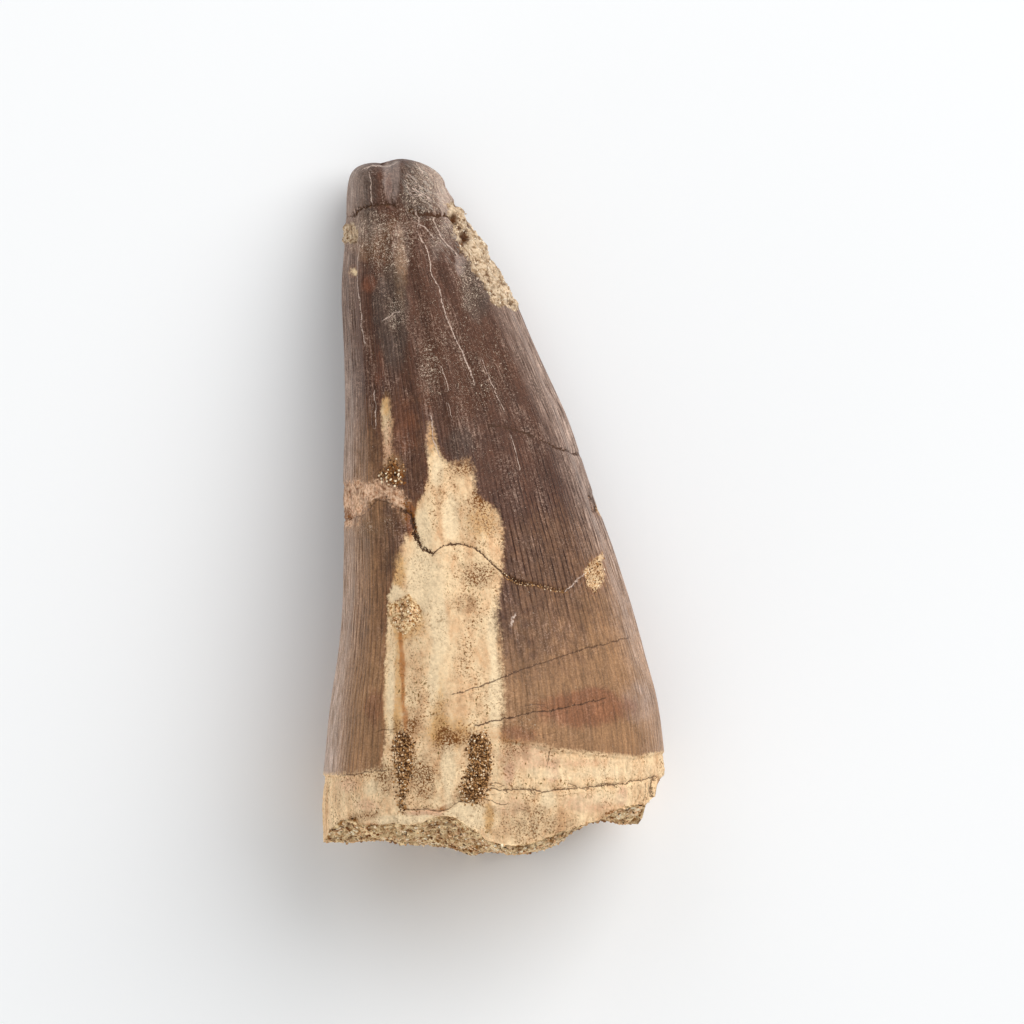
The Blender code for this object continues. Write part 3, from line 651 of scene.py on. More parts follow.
def crown_distances(angle):
    """The distance d of every row of the crown on every column."""
    crack = follow(angle, CRACK_ROW, 38.0)
    foot = follow(angle, ENAMEL_FOOT, 60.0)
    upper = follow(angle, UPPER_BREAK, BREAK_MIDDLE)
    lower = follow(angle, LOWER_BREAK, BREAK_MIDDLE)
    end = np.where(np.sin(angle) > 0, upper, lower)
    seam = np.minimum(follow(angle, SEAM_ROW, 64.0), end - SEAM_TO_BREAK)
    anchors = (
        np.full_like(angle, CAP_DEPTH), crack - CRACK_ROW_REACH, crack, crack + CRACK_ROW_REACH,
        foot, foot + FOOT_WIDTH, seam, end,
    )
    rows = []
    for start, stop, count in zip(anchors, anchors[1:], CROWN_ROWS):
        rows.extend(start + (stop - start) * step / count for step in range(count))
    return np.array(rows + [end])


def cap_rows(angle):
    """The blunt tip: rows that open from the pole to the crown's first full section."""
    x_full, z_full = section(angle, np.full_like(angle, CAP_DEPTH))
    z_pole = SIDE_HEIGHT * hermite(CAP_DEPTH, SECTIONS, 3) + TIP_LIFT
    left = ((1 - np.cos(angle)) / 2) ** 3
    bluntness = RIGHT_BLUNTNESS + (LEFT_BLUNTNESS - RIGHT_BLUNTNESS) * left
    rows = []
    for row in range(CAP_ROWS):
        turn = row / CAP_ROWS * math.pi / 2
        opening = math.sin(turn) ** (2 / bluntness)
        depth = CAP_DEPTH * (1 - math.cos(turn) ** (2 / bluntness))
        x = POLE_X + (x_full - POLE_X) * opening
        z = z_pole + (z_full - z_pole) * opening
        lobes = SADDLE_DEPTH * bell(x - SADDLE_X, SADDLE_WIDTH)
        lobes = lobes + LEFT_LOBE_DROP * smoothstep(SADDLE_X + 0.5, SADDLE_X - 0.5, x)
        rows.append((x, depth + lobes * (1 - depth / CAP_DEPTH), z))
    return rows


def break_face(x, z):
    """The distance d of the broken face: its lower edge sticks out further than its upper one."""
    d = np.full_like(x, BREAK_MIDDLE)
    half, middle = half_and_middle(d)
    _x, top = section(upper_angle(x, d), d)
    across = np.clip((x - middle) / half, -1.0, 1.0)
    _x, bottom = section(-np.arccos(across), d)
    bottom = rest_flat(bottom)
    down = np.clip((top - z) / np.maximum(top - bottom, 1.0), 0.0, 1.0)
    upper = straight(x, UPPER_BREAK)
    lower = straight(x, LOWER_BREAK)
    return upper + (lower - upper) * down**BREAK_PROFILE


def break_rows(x_edge, d_edge, z_edge):
    """The broken face, from its edge in to a pole near its middle: coarse layers, lumps and pits."""
    x_middle = (x_edge.max() + x_edge.min()) / 2
    z_middle = (z_edge.max() + z_edge.min()) / 2
    inward = ((np.arange(1, BREAK_ROWS + 1) / BREAK_ROWS) ** 1.15)[:, None]
    x = x_edge + (x_middle - x_edge) * inward
    z = z_edge + (z_middle - z_edge) * inward
    rough = added_up(BREAK_ROUGHNESS, x, 0 * x, z)
    join = smoothstep(0.0, 0.2, inward)
    d = d_edge + (break_face(x, z) - d_edge) * join + rough * smoothstep(0.0, 0.12, inward)
    # The last array marks the face's hollows, which its material darkens as painted shade.
    return x, d, z, np.clip(added_up(BREAK_HOLLOW_SHADE, x, 0 * x, z), 0.0, 1.0)


def line_offset(x, d, line):
    """Each point's distance from a line, with a sign for its side, and how far it lies past an end."""
    nearest = np.full(x.shape, 1e9)
    offset = np.full(x.shape, 1e9)
    past = np.zeros(x.shape)
    for number, ((x0, d0), (x1, d1)) in enumerate(zip(line, line[1:])):
        run_x, run_d = x1 - x0, d1 - d0
        length = math.hypot(run_x, run_d)
        along = ((x - x0) * run_x + (d - d0) * run_d) / length
        held = np.clip(along, 0.0, length)
        reach = np.hypot(x - x0 - run_x * held / length, d - d0 - run_d * held / length)
        side = np.where((x - x0) * run_d - (d - d0) * run_x < 0, -1.0, 1.0)
        closer = reach < nearest
        over = np.zeros(x.shape)
        if number == 0:
            over = np.maximum(over, -along)
        if number == len(line) - 2:
            over = np.maximum(over, along - length)
        past = np.where(closer, over, past)
        offset = np.where(closer, reach * side, offset)
        nearest = np.minimum(nearest, reach)
    return offset, past


def line_group(x, d, lines, wander):
    """The nearest line's offset in half widths, a mask for its surroundings, its depth and darkness."""
    offset = np.full(x.shape, OFF_THE_LINE)
    near, depth, dark = (np.zeros(x.shape) for _ in range(3))
    for half_width, line_depth, darkness, line in lines:
        distance, past = line_offset(x + wander, d + wander, line)
        end = smoothstep(LINE_END, 0.0, past)
        presence = smoothstep(*LINE_SURROUNDINGS, np.abs(distance)) * end
        closer = np.abs(distance) / half_width < np.abs(offset)
        offset = np.where(closer, distance / half_width, offset)
        near = np.where(closer, presence, near)
        dark = np.where(closer, darkness, dark)
        groove = np.clip(1.15 - np.abs(distance) / (half_width + 0.1), 0.0, 1.0)
        depth = np.maximum(depth, line_depth * groove * end)
    return np.clip(offset, -OFF_THE_LINE, OFF_THE_LINE), near, depth, dark


def inside_outlines(x, d, outlines):
    """How far each point lies inside the nearest of several outlines, below 0 outside them."""
    best = np.full(x.shape, -1e9)
    for outline in outlines:
        nearest = np.full(x.shape, 1e9)
        inside = np.zeros(x.shape, bool)
        for (x0, d0), (x1, d1) in zip(outline, outline[1:] + outline[:1]):
            run_x, run_d = x1 - x0, d1 - d0
            along = ((x - x0) * run_x + (d - d0) * run_d) / (run_x**2 + run_d**2)
            along = np.clip(along, 0.0, 1.0)
            nearest = np.minimum(nearest, np.hypot(x - x0 - run_x * along, d - d0 - run_d * along))
            if d0 != d1:
                crosses = (d0 > d) != (d1 > d)
                inside ^= crosses & (x < x0 + run_x * (d - d0) / run_d)
        best = np.maximum(best, np.where(inside, nearest, -nearest))
    return best


def outward(points):
    """Unit normals of a grid of points that closes on itself along its second axis."""
    along = np.gradient(points, axis=0)
    around = np.roll(points, -1, axis=1) - np.roll(points, 1, axis=1)
    normals = np.cross(around, along)
    lengths = np.linalg.norm(normals, axis=2, keepdims=True)
    return normals / np.maximum(lengths, 1e-9)


def tooth_fields(angle, x, d, z):
    """Where enamel is gone, cracks run and stains lie, at each point of the crown."""
    rise = np.sin(angle)
    top = rise > -0.02
    small = unevenness("edge", x, d, z)
    ragged = added_up(EDGE_RAGGEDNESS, x, d, z)
    over_the_side = SIDE_MARGIN + SIDE_SLOPE * rise + SIDE_RAGGEDNESS * small
    fields = {}
    for name, (outlines, raggedness) in OUTLINED.items():
        inside = np.minimum(inside_outlines(x, d, outlines) + raggedness * ragged, over_the_side)
        fields[name] = np.clip(inside, -OUTLINE_REACH, OUTLINE_REACH)
    wander = added_up(LINE_WANDER, x, d, z)
    seen = line_group(x, d, CRACKS, wander)
    beneath = line_group(x, d, UNDERSIDE_CRACKS, wander)
    offset, near, depth, dark = (np.where(top, *pair) for pair in zip(seen, beneath))
    fields["crack"] = offset
    fields["crack_near"] = near * dark
    fields["crack_depth"] = depth
    pale_lines = [(half_width, 0.0, 1.0, line) for half_width, line in PALE_LINES]
    offset, near, _depth, _dark = line_group(x, d, pale_lines, wander)
    fields["pale"] = offset
    fields["pale_near"] = np.where(top, near, 0.0)
    above = smoothstep(-0.3, 0.1, rise)
    for name, stains in STAINS.items():
        total = np.zeros(x.shape)
        for x_stain, d_stain, half_width, half_length, strength in stains:
            reach = ((x - x_stain) / half_width) ** 2 + ((d - d_stain) / half_length) ** 2
            total = total + strength * np.exp(-((reach + STAIN_RAGGEDNESS * small) ** 2) / 2)
        fields[name] = np.clip(total, 0.0, 1.0) * above
    patchy = unevenness("patchy", x, d, z)
    tan_below = np.clip(straight(d, TAN_BELOW) + 0.8 * patchy, 0.0, 1.0)
    fields["tan"] = fields["tan"] + (1 - above) * tan_below
    fields["grey"] = fields["grey"] + (1 - above) * np.clip(-1.6 * patchy, 0.0, 0.8)
    # Both edges are paler: partly dust and pale striations, partly painted sheen and light where the
    # edges catch the bright surroundings.
    from_left = smoothstep(LEFT_FLANK, 0.0, x - hermite(d, SECTIONS, 1))
    from_right = smoothstep(RIGHT_FLANK, 0.0, hermite(d, SECTIONS, 2) - x)
    dust_and_sheen = np.maximum(from_left * straight(d, LEFT_DUST_AND_SHEEN), from_right * straight(d, RIGHT_DUST_AND_SHEEN))
    fields["flank"] = dust_and_sheen * smoothstep(-0.9, 0.1, rise)
    fields["root"] = np.clip(d - straight(x, ENAMEL_FOOT), -ROOT_REACH, ROOT_REACH)
    return fields


def relief(angle, x, d, z, fields):
    """How far each point of the crown stands above or below its smooth section."""
    upper = smoothstep(0.05, 0.3, np.sin(angle))
    root = smoothstep(0.0, FOOT_WIDTH, fields["root"])
    bare = smoothstep(-0.15, 0.25, fields["bare"]) * (1 - root)
    crust = smoothstep(-0.1, 0.4, np.maximum(fields["crust"], fields["lump"]))
    shares = {
        "bare": bare, "root": root, "crust": crust, "sand": smoothstep(-0.1, 0.4, fields["sand"]),
        "spall": smoothstep(-0.1, 0.3, fields["spall"]), "worn": fields["worn"],
    }
    height = -ENAMEL_STEP * bare - ROOT_STEP * root
    fluted = smoothstep(2.0, 9.0, d) * (1 - smoothstep(40.0, 60.0, d))
    height = height + FLUTE_DEPTH * np.cos(FLUTES * angle) * fluted
    height = height + WEAR_DEPTH * unevenness("wear", x, d, z) * smoothstep(0.0, 5.0, d)
    from_side = np.minimum(np.abs(np.sin(angle / 2)), np.abs(np.cos(angle / 2))) * 2
    height = height + CARINA_HEIGHT * bell(from_side, CARINA_HALF_ANGLE) * smoothstep(0.5, 4.0, d)
    groove = bell(x - SADDLE_X, SADDLE_WIDTH) * (1 - smoothstep(2.0, GROOVE_END, d))
    height = height - GROOVE_DEPTH * groove * upper
    columns = np.arange(angle.shape[1])
    valley = np.where(columns % COLUMNS_PER_RIB == 0, -1.0, 0.5)
    valley = np.where(columns < RIBS_ABOVE * COLUMNS_PER_RIB, valley, 0.0)
    strong = smoothstep(4.0, 22.0, d) * (1 - bare) * (1 - root) * (1 - crust)
    strong = strong * (1 + 0.6 * unevenness("ribs", x, d, z))
    height = height + RIB_DEPTH * valley * strong - fields["crack_depth"]
    grain, coarse, fine, lumps = (
        unevenness(pattern, x, d, z) for pattern in ("grain", "coarse", "fine", "lumps")
    )
    for name, (rise, by_grain, by_coarse, by_fine, by_lumps) in ROUGHNESS.items():
        rough = rise + by_grain * grain + by_coarse * coarse + by_fine * fine + by_lumps * lumps
        height = height + shares[name] * rough
    pits = sum(
        deep * bell(x - x_pit, half_width) * bell(d - d_pit, half_length)
        for x_pit, d_pit, half_width, half_length, deep in PITS
    ) * upper
    height = height - pits
    # How hollow each point is: the materials darken hollows and pits with painted shade.
    hollow = np.maximum(-2.0 * (0.6 * fine + 0.25 * grain + 0.35 * lumps), 4.0 * pits)
    fields["hollow"] = np.clip(hollow, 0.0, 1.0)
    return height


def tooth_grid():
    """Every point, normal and field of the tooth, by rows from its tip to the middle of the break."""
    column_angle, ribs = column_angles()
    crown_d = crown_distances(column_angle)
    crown_x, crown_z = section(np.tile(column_angle, (len(crown_d), 1)), crown_d)
    cap_x, cap_d, cap_z = np.moveaxis(np.array(cap_rows(column_angle)), 1, 0)
    x = np.concatenate([cap_x, crown_x])
    d = np.concatenate([cap_d, crown_d])
    z = np.concatenate([cap_z, crown_z])
    angle = np.tile(column_angle, (len(x), 1))
    fields = tooth_fields(angle, x, d, z)
    height = relief(angle, x, d, z, fields)
    height[0] = 0.0
    crown_rows = len(x)
    *broken, broken_hollow = break_rows(crown_x[-1], crown_d[-1], crown_z[-1])
    x, d, z = (np.concatenate(pair) for pair in zip((x, d, z), broken))
    height = np.concatenate([height, np.zeros_like(broken_hollow)])
    for name, field in fields.items():
        on_break = np.full_like(broken_hollow, ON_THE_BREAK.get(name, 0.0))
        fields[name] = np.concatenate([field, on_break])
    fields["hollow"][crown_rows:] = broken_hollow
    points = np.stack([x, LENGTH / 2 - d, z], axis=-1)
    points = points + outward(points) * height[..., None]
    points[..., 2] = rest_flat(points[..., 2])
    for pole in (0, -1):
        points[pole] = points[pole].mean(axis=0)
    normals = outward(points)
    low, high = points.min(axis=(0, 1)), points.max(axis=(0, 1))
    middle = np.array([(low[0] + high[0]) / 2, (low[1] + high[1]) / 2, low[2]])
    cad_middle = np.array([cad_box[0][k] + cad_box[1][k] for k in (0, 1)] + [0.0]) / 2 / MM
    return {
        "points": points - middle + cad_middle, "normals": normals, "x": x, "d": d, "ribs": ribs,
        "fields": fields, "crown_rows": crown_rows,
    }


def set_out(name, shape, *materials):
    """Turns a finished shape into an object at the origin, in its materials."""
    mesh = bpy.data.meshes.new(name)
    shape.to_mesh(mesh)
    shape.free()
    for material in materials:
        mesh.materials.append(material)
    piece = bpy.data.objects.new(name, mesh)
    bpy.context.scene.collection.objects.link(piece)
    return piece


def make_tooth(grid, *materials):
    """The tooth's one closed body, with its fields kept as attributes for the materials."""
    points = grid["points"]
    last_row, column_count = len(points) - 1, points.shape[1]
    ribs = np.append(grid["ribs"], RIBS_ABOVE + RIBS_BELOW)
    steps = np.linalg.norm(np.roll(points, -1, axis=1) - points, axis=2).mean(axis=0)
    around = np.concatenate([[0.0], np.cumsum(steps)]) / steps.sum()
    steps = np.linalg.norm(np.diff(points, axis=0), axis=2).mean(axis=1)
    along = np.concatenate([[0.0], np.cumsum(steps)]) / steps.sum()
    shape = bmesh.new()
    bmesh.ops.create_grid(shape, x_segments=column_count, y_segments=last_row, size=1.0)
    row_of = shape.verts.layers.int.new("row")
    column_of = shape.verts.layers.int.new("column")
    for vertex in shape.verts:
        row = round((1 - vertex.co.y) / 2 * last_row)
        column = round((1 + vertex.co.x) / 2 * column_count)
        vertex[row_of], vertex[column_of] = row, column
        vertex.co = Vector(points[row, column % column_count]) * MM
    whole_map = shape.loops.layers.uv.new("OFBake")
    rib_map = shape.loops.layers.uv.new("lengthwise")
    for face in shape.faces:
        row = min(vertex[row_of] for vertex in face.verts)
        face.material_index = (row >= ROOT_ROW) + (row >= grid["crown_rows"] - 1)
        for corner in face.loops:
            row, column = corner.vert[row_of], corner.vert[column_of]
            corner[whole_map].uv = (
                MAP_MARGIN + (1 - 2 * MAP_MARGIN) * around[column],
                1 - MAP_MARGIN - (1 - 2 * MAP_MARGIN) * along[row],
            )
            corner[rib_map].uv = ribs[column], grid["d"][row, column % column_count]
    ends = (0, column_count)
    seam = [v for v in shape.verts if v[column_of] in ends or v[row_of] in (0, last_row)]
    bmesh.ops.remove_doubles(shape, verts=seam, dist=1e-8)
    bmesh.ops.recalc_face_normals(shape, faces=shape.faces[:])
    body = set_out("tooth_body", shape, *materials)
    mesh = body.data
    mesh.shade_smooth()
    places = []
    for name in ("row", "column"):
        numbers = np.zeros(len(mesh.vertices), np.int32)
        mesh.attributes[name].data.foreach_get("value", numbers)
        mesh.attributes.remove(mesh.attributes[name])
        places.append(numbers)
    places[1] %= column_count
    for name, field in grid["fields"].items():
        attribute = mesh.attributes.new(name, "FLOAT", "POINT")
        attribute.data.foreach_set("value", field[tuple(places)].astype(np.float32))
    return body


def scatter(grid, weight, count, seed):
    """Random places on the grid's cells, picked by weight and by area, and their normals."""
    points = grid["points"]
    across = np.roll(points, -1, axis=1) - points
    along = np.roll(points, -1, axis=0) - points
    area = np.linalg.norm(np.cross(across, along), axis=2)
    share = np.clip(weight, 0.0, None) * area
    share[-1] = 0.0
    picker = np.random.default_rng(seed)
    picked = picker.choice(share.size, size=count, p=(share / share.sum()).ravel())
    row, column = np.unravel_index(picked, share.shape)
    u, v = picker.random((2, count, 1))
    place = points[row, column] + across[row, column] * u + along[row, column] * v
    return place, grid["normals"][row, column]


def make_grains(grid, places_for, name, material, seed):
    """Sand grains, half sunk in what holds them: each one a rough little lump with a tone of its own.
    They are made a few dozen at a time, because an operator slows down as its mesh grows."""
    chance = random.Random(seed)
    shape = bmesh.new()
    for where, count, places_seed, smallest, largest, longest, lift, pale in GRAINS[name]:
        places, normals = scatter(grid, places_for[where], count, places_seed)
        for start in range(0, len(places), GRAINS_AT_ONCE):
            handful = bmesh.new()
            tone = handful.verts.layers.float.new("tone")
            some = slice(start, start + GRAINS_AT_ONCE)
            for place, normal in zip(places[some], normals[some]):
                size = chance.uniform(smallest, largest) / 2
                turn = Euler([chance.uniform(0.0, math.tau) for _ in range(3)]).to_matrix().to_4x4()
                long = size * chance.uniform(SHORTEST_GRAIN, longest)
                wide = size * chance.uniform(*GRAIN_WIDTHS)
                stretch = Matrix.Diagonal((long, wide, size, 1.0))
                rise = lift + chance.uniform(-GRAIN_UNEVENNESS, GRAIN_UNEVENNESS)
                centre = Vector(place) + Vector(normal) * size * rise
                centre.z = max(centre.z, size * longest)
                lay = Matrix.Translation(centre * MM) @ turn @ Matrix.Scale(MM, 4) @ stretch
                made = bmesh.ops.create_icosphere(handful, subdivisions=1, radius=1.0, matrix=lay)
                value = min(1.0, max(0.0, chance.gauss(pale, TONE_SPREAD)))
                for vertex in made["verts"]:
                    vertex[tone] = value
            batch = bpy.data.meshes.new("handful")
            handful.to_mesh(batch)
            handful.free()
            shape.from_mesh(batch)
            bpy.data.meshes.remove(batch)
    return set_out(name, shape, material)


def linear(hex_colour):
    """An sRGB hex colour as linear red, green, blue and alpha."""
    values = [int(hex_colour[k : k + 2], 16) / 255 for k in (1, 3, 5)]
    return tuple(v / 12.92 if v <= 0.04045 else ((v + 0.055) / 1.055) ** 2.4 for v in values) + (1.0,)


def add(tree, kind, inputs=None, output=None, **settings):
    """Adds a node with its settings, sets or links its inputs, and returns the output to use.
    An input takes another node's output, a number, numbers, or a colour as sRGB hex."""
    node = tree.nodes.new("ShaderNode" + kind)
    for name, value in settings.items():
        setattr(node, name, value)
    for key, value in (inputs or {}).items():
        if isinstance(key, int):
            socket = node.inputs[key]
        else:
            socket = next(s for s in node.inputs if s.name == key and s.enabled)
        if isinstance(value, bpy.types.NodeSocket):
            tree.links.new(value, socket)
        else:
            socket.default_value = linear(value) if isinstance(value, str) else value
    if output:
        return node.outputs[output]
    return next((s for s in node.outputs if s.enabled), None)


def drawn_out(tree, ribs_wide, mm_long, detail=3.0, roughness=0.5):
    """A pattern drawn out along the tooth, its features so many ribs wide and so many mm long."""
    place = add(tree, "UVMap", uv_map="lengthwise")
    place = add(tree, "Mapping", {"Vector": place, "Scale": (1 / ribs_wide, 1 / mm_long, 1.0)})
    pattern = {"Vector": place, "Scale": 1.0, "Detail": detail, "Roughness": roughness}
    return add(tree, "TexNoise", pattern)


def stain(tree, name, pattern, reach=0.8, strongest=1.0):
    """How strong a stain is, with its edge broken up by a pattern."""
    mask = add(tree, "Attribute", output="Fac", attribute_name=name)
    mask = add(tree, "Math", {0: pattern, 1: reach, 2: mask}, operation="MULTIPLY_ADD")
    edge = {"Value": mask, "From Min": 0.35 + 0.25 * reach, "From Max": 0.35 + 0.9 * reach}
    edge["To Max"] = strongest
    return add(tree, "MapRange", edge, interpolation_type="SMOOTHSTEP")


def peppered(tree, name, grain):
    """A stain made of separate grains: sparse where it is weak and closed where it is strong."""
    mask = add(tree, "Attribute", output="Fac", attribute_name=name)
    mask = add(tree, "Math", {0: grain, 1: 3.5, 2: mask}, operation="MULTIPLY_ADD")
    return add(tree, "MapRange", {"Value": mask, "From Min": 2.45, "From Max": 2.75})


def region(tree, name, pattern, wander, soft, grown=0.0):
    """1 inside an outlined region and 0 outside; its edge wanders with a pattern and may be soft."""
    depth = add(tree, "Attribute", output="Fac", attribute_name=name)
    shift = add(tree, "Math", {0: pattern, 1: 0.5}, operation="SUBTRACT")
    depth = add(tree, "Math", {0: shift, 1: wander, 2: depth}, operation="MULTIPLY_ADD")
    depth = add(tree, "Math", {0: depth, 1: grown}, operation="ADD")
    depth = add(tree, "Math", {0: depth, 1: soft}, operation="DIVIDE")
    edge = {"Value": depth, "From Min": -1.0, "From Max": 1.0}
    return add(tree, "MapRange", edge, interpolation_type="SMOOTHSTEP")


def drawn_line(tree, name, grain):
    """1 on the nearest drawn line and 0 off it, its edges ragged with a grain."""
    offset = add(tree, "Attribute", output="Fac", attribute_name=name)
    near = add(tree, "Attribute", output="Fac", attribute_name=name + "_near")
    shift = add(tree, "Math", {0: grain, 1: 0.5}, operation="SUBTRACT")
    offset = add(tree, "Math", {0: shift, 1: 8.0, 2: offset}, operation="MULTIPLY_ADD")
    offset = add(tree, "Math", {0: offset}, operation="ABSOLUTE")
    edge = {"Value": offset, "From Min": LINE_EDGE[0], "From Max": LINE_EDGE[1]}
    line = add(tree, "MapRange", edge, interpolation_type="SMOOTHSTEP")
    return add(tree, "Math", {0: line, 1: near}, operation="MULTIPLY")


def grit(tree, place, size_mm, low, high):
    """Fine speckle of a real grain size, cut between two levels."""
    wanted = {"Vector": place, "Scale": 1 / (size_mm * MM), "Detail": 3.0, "Roughness": 0.65}
    edge = {"Value": add(tree, "TexNoise", wanted), "From Min": low, "From Max": high}
    return add(tree, "MapRange", edge, interpolation_type="SMOOTHSTEP")


def coated(tree, colour, *coats, blend="MIX"):
    """A colour with coats laid over it one by one, each as far as its own mask reaches."""
    for mask, coat in coats:
        coat = {"Factor": mask, "A": colour, "B": coat}
        colour = add(tree, "Mix", coat, data_type="RGBA", blend_type=blend)
    return colour


def toned(tree, colour, pattern, darkest, lightest):
    """A colour made darker and lighter by a pattern."""
    tone = {"Value": pattern, "From Min": 0.3, "From Max": 0.7, "To Min": darkest, "To Max": lightest}
    return coated(tree, colour, (1.0, add(tree, "MapRange", tone)), blend="MULTIPLY")


def new_material(name):
    """A material's node tree, its one shader and the place that its patterns read."""
    material = bpy.data.materials.new(name)
    material.use_nodes = True
    tree = material.node_tree
    place = add(tree, "TexCoord", output="Object")
    return material, tree, tree.nodes["Principled BSDF"], place


def grainy(tree, place):
    """Two patterns: mottling about 1.6 mm across with grainy edges, and grain about 0.3 mm across."""
    mottle = {"Vector": place, "Scale": 1 / (1.6 * MM), "Detail": 6.0, "Roughness": 0.8}
    grain = {"Vector": place, "Scale": 1 / (0.32 * MM), "Detail": 3.0, "Roughness": 0.75}
    return add(tree, "TexNoise", mottle), add(tree, "TexNoise", grain)


def finish_surface(tree, shader, colour, roughness, height, depth_mm, shine=DULL_SHINE):
    """Joins the colour, roughness and bump to the shader."""
    bump = add(tree, "Bump", {"Strength": 1.0, "Distance": depth_mm * MM, "Height": height})
    shader.inputs["Specular IOR Level"].default_value = shine
    tree.links.new(colour, shader.inputs["Base Color"])
    tree.links.new(roughness, shader.inputs["Roughness"])
    tree.links.new(bump, shader.inputs["Normal"])


def rib_lines(tree):
    """The dark lines between the enamel's ribs: they waver, break off and start again."""
    rib = add(tree, "SeparateXYZ", {"Vector": add(tree, "UVMap", uv_map="lengthwise")})
    for ribs_wide, mm_long, sway in ((2.0, 6.0, 0.4), (0.6, 0.7, 0.18)):
        waver = {0: drawn_out(tree, ribs_wide, mm_long, detail=2.0), 1: 0.5}
        waver = add(tree, "Math", waver, operation="SUBTRACT")
        rib = add(tree, "Math", {0: waver, 1: sway, 2: rib}, operation="MULTIPLY_ADD")
    rib = add(tree, "Math", {0: rib, 1: 0.5}, operation="PINGPONG")
    valley = {"Value": rib, "From Min": 0.21, "From Max": 0.04}
    valley = add(tree, "MapRange", valley, interpolation_type="SMOOTHSTEP")
    broken = drawn_out(tree, 0.9, 2.8, detail=5.0, roughness=0.7)
    broken = add(tree, "MapRange", {"Value": broken, "From Min": 0.36, "From Max": 0.58})
    return add(tree, "Math", {0: valley, 1: broken}, operation="MULTIPLY")


def enamel_colour(tree, place, mottle, grain, valley):
    """Ribbed brown enamel: dark purple-brown, tan towards its foot, pale at its edges with dust and
    painted sheen. Its finest pale specks, partly dust and partly painted glints, are drawn 0.17 mm
    across, which is coarser than real dust, so that they show at all."""
    tan = add(tree, "Attribute", output="Fac", attribute_name="tan")
    tan = add(tree, "Math", {0: mottle, 1: 0.5, 2: tan}, operation="MULTIPLY_ADD")
    tan = add(tree, "MapRange", {"Value": tan, "From Min": 0.35, "From Max": 1.02})
    striation = drawn_out(tree, 0.4, 2.2)
    flank = add(tree, "Attribute", output="Fac", attribute_name="flank")
    striped = {"Value": striation, "From Min": 0.35, "From Max": 0.65}
    striped = add(tree, "MapRange", {**striped, "To Min": 0.2, "To Max": 2 * FLANK_DUST_AND_SHEEN - 0.2})
    colour = coated(
        tree, ENAMEL_BROWN, (tan, ENAMEL_TAN),
        # Mauve-grey, partly worn tone and partly painted sheen on the tip's shoulder and rims.
        (stain(tree, "lilac_and_sheen", mottle, strongest=0.8), ENAMEL_LILAC_AND_SHEEN),
        (stain(tree, "ochre", mottle, strongest=0.5), ENAMEL_OCHRE),
        (stain(tree, "grey", mottle, strongest=0.6), ENAMEL_GREY),
        (stain(tree, "red", mottle, strongest=0.6), ENAMEL_RED),
        # The pale edges: partly dust and pale striations, partly painted sheen and light.
        (add(tree, "Math", {0: flank, 1: striped}, operation="MULTIPLY"), ENAMEL_RIM_DUST_AND_SHEEN),
    )
    # Long lighter and darker streaks along the flutes: painted sheen and shade of their facets.
    colour = toned(tree, colour, drawn_out(tree, 2.4, 9.0, detail=4.0), 0.82, 1.18)
    colour = toned(tree, colour, mottle, 0.86, 1.14)
    dust_and_glint = add(tree, "TexNoise", {"Vector": place, "Scale": 1 / (0.17 * MM), "Detail": 1.0})
    calm = add(tree, "MapRange", {"Value": tan, "To Min": 1.0, "To Max": 0.4})
    drift = {"Value": drawn_out(tree, 3.5, 5.0), "From Min": 0.46, "From Max": 0.64}
    drift = add(tree, "MapRange", {**drift, "To Min": 0.15, "To Max": 1.4})
    calm = add(tree, "Math", {0: calm, 1: drift}, operation="MULTIPLY")
    # Pale specks on the striation, the grain and the finest pattern: partly dust, partly painted
    # glints.
    for pattern, darkest, lightest in ((striation, 0.74, 0.24), (grain, 0.82, 0.22), (dust_and_glint, 0.82, 0.3)):
        colour = toned(tree, colour, pattern, darkest, 2.0 - darkest)
        light = {"Value": pattern, "From Min": 0.55, "From Max": 0.72, "To Max": lightest}
        light = add(tree, "Math", {0: add(tree, "MapRange", light), 1: calm}, operation="MULTIPLY")
        colour = coated(tree, colour, (light, ENAMEL_DUST_AND_GLINT))
    ribbed = add(tree, "Attribute", output="Fac", attribute_name="ribbed")
    ribbed = add(tree, "MapRange", {"Value": ribbed, "To Min": 0.12, "To Max": 1.0})
    valley = add(tree, "Math", {0: valley, 1: ribbed}, operation="MULTIPLY")
    return coated(tree, colour, (valley, RIB_VALLEY), blend="MULTIPLY")


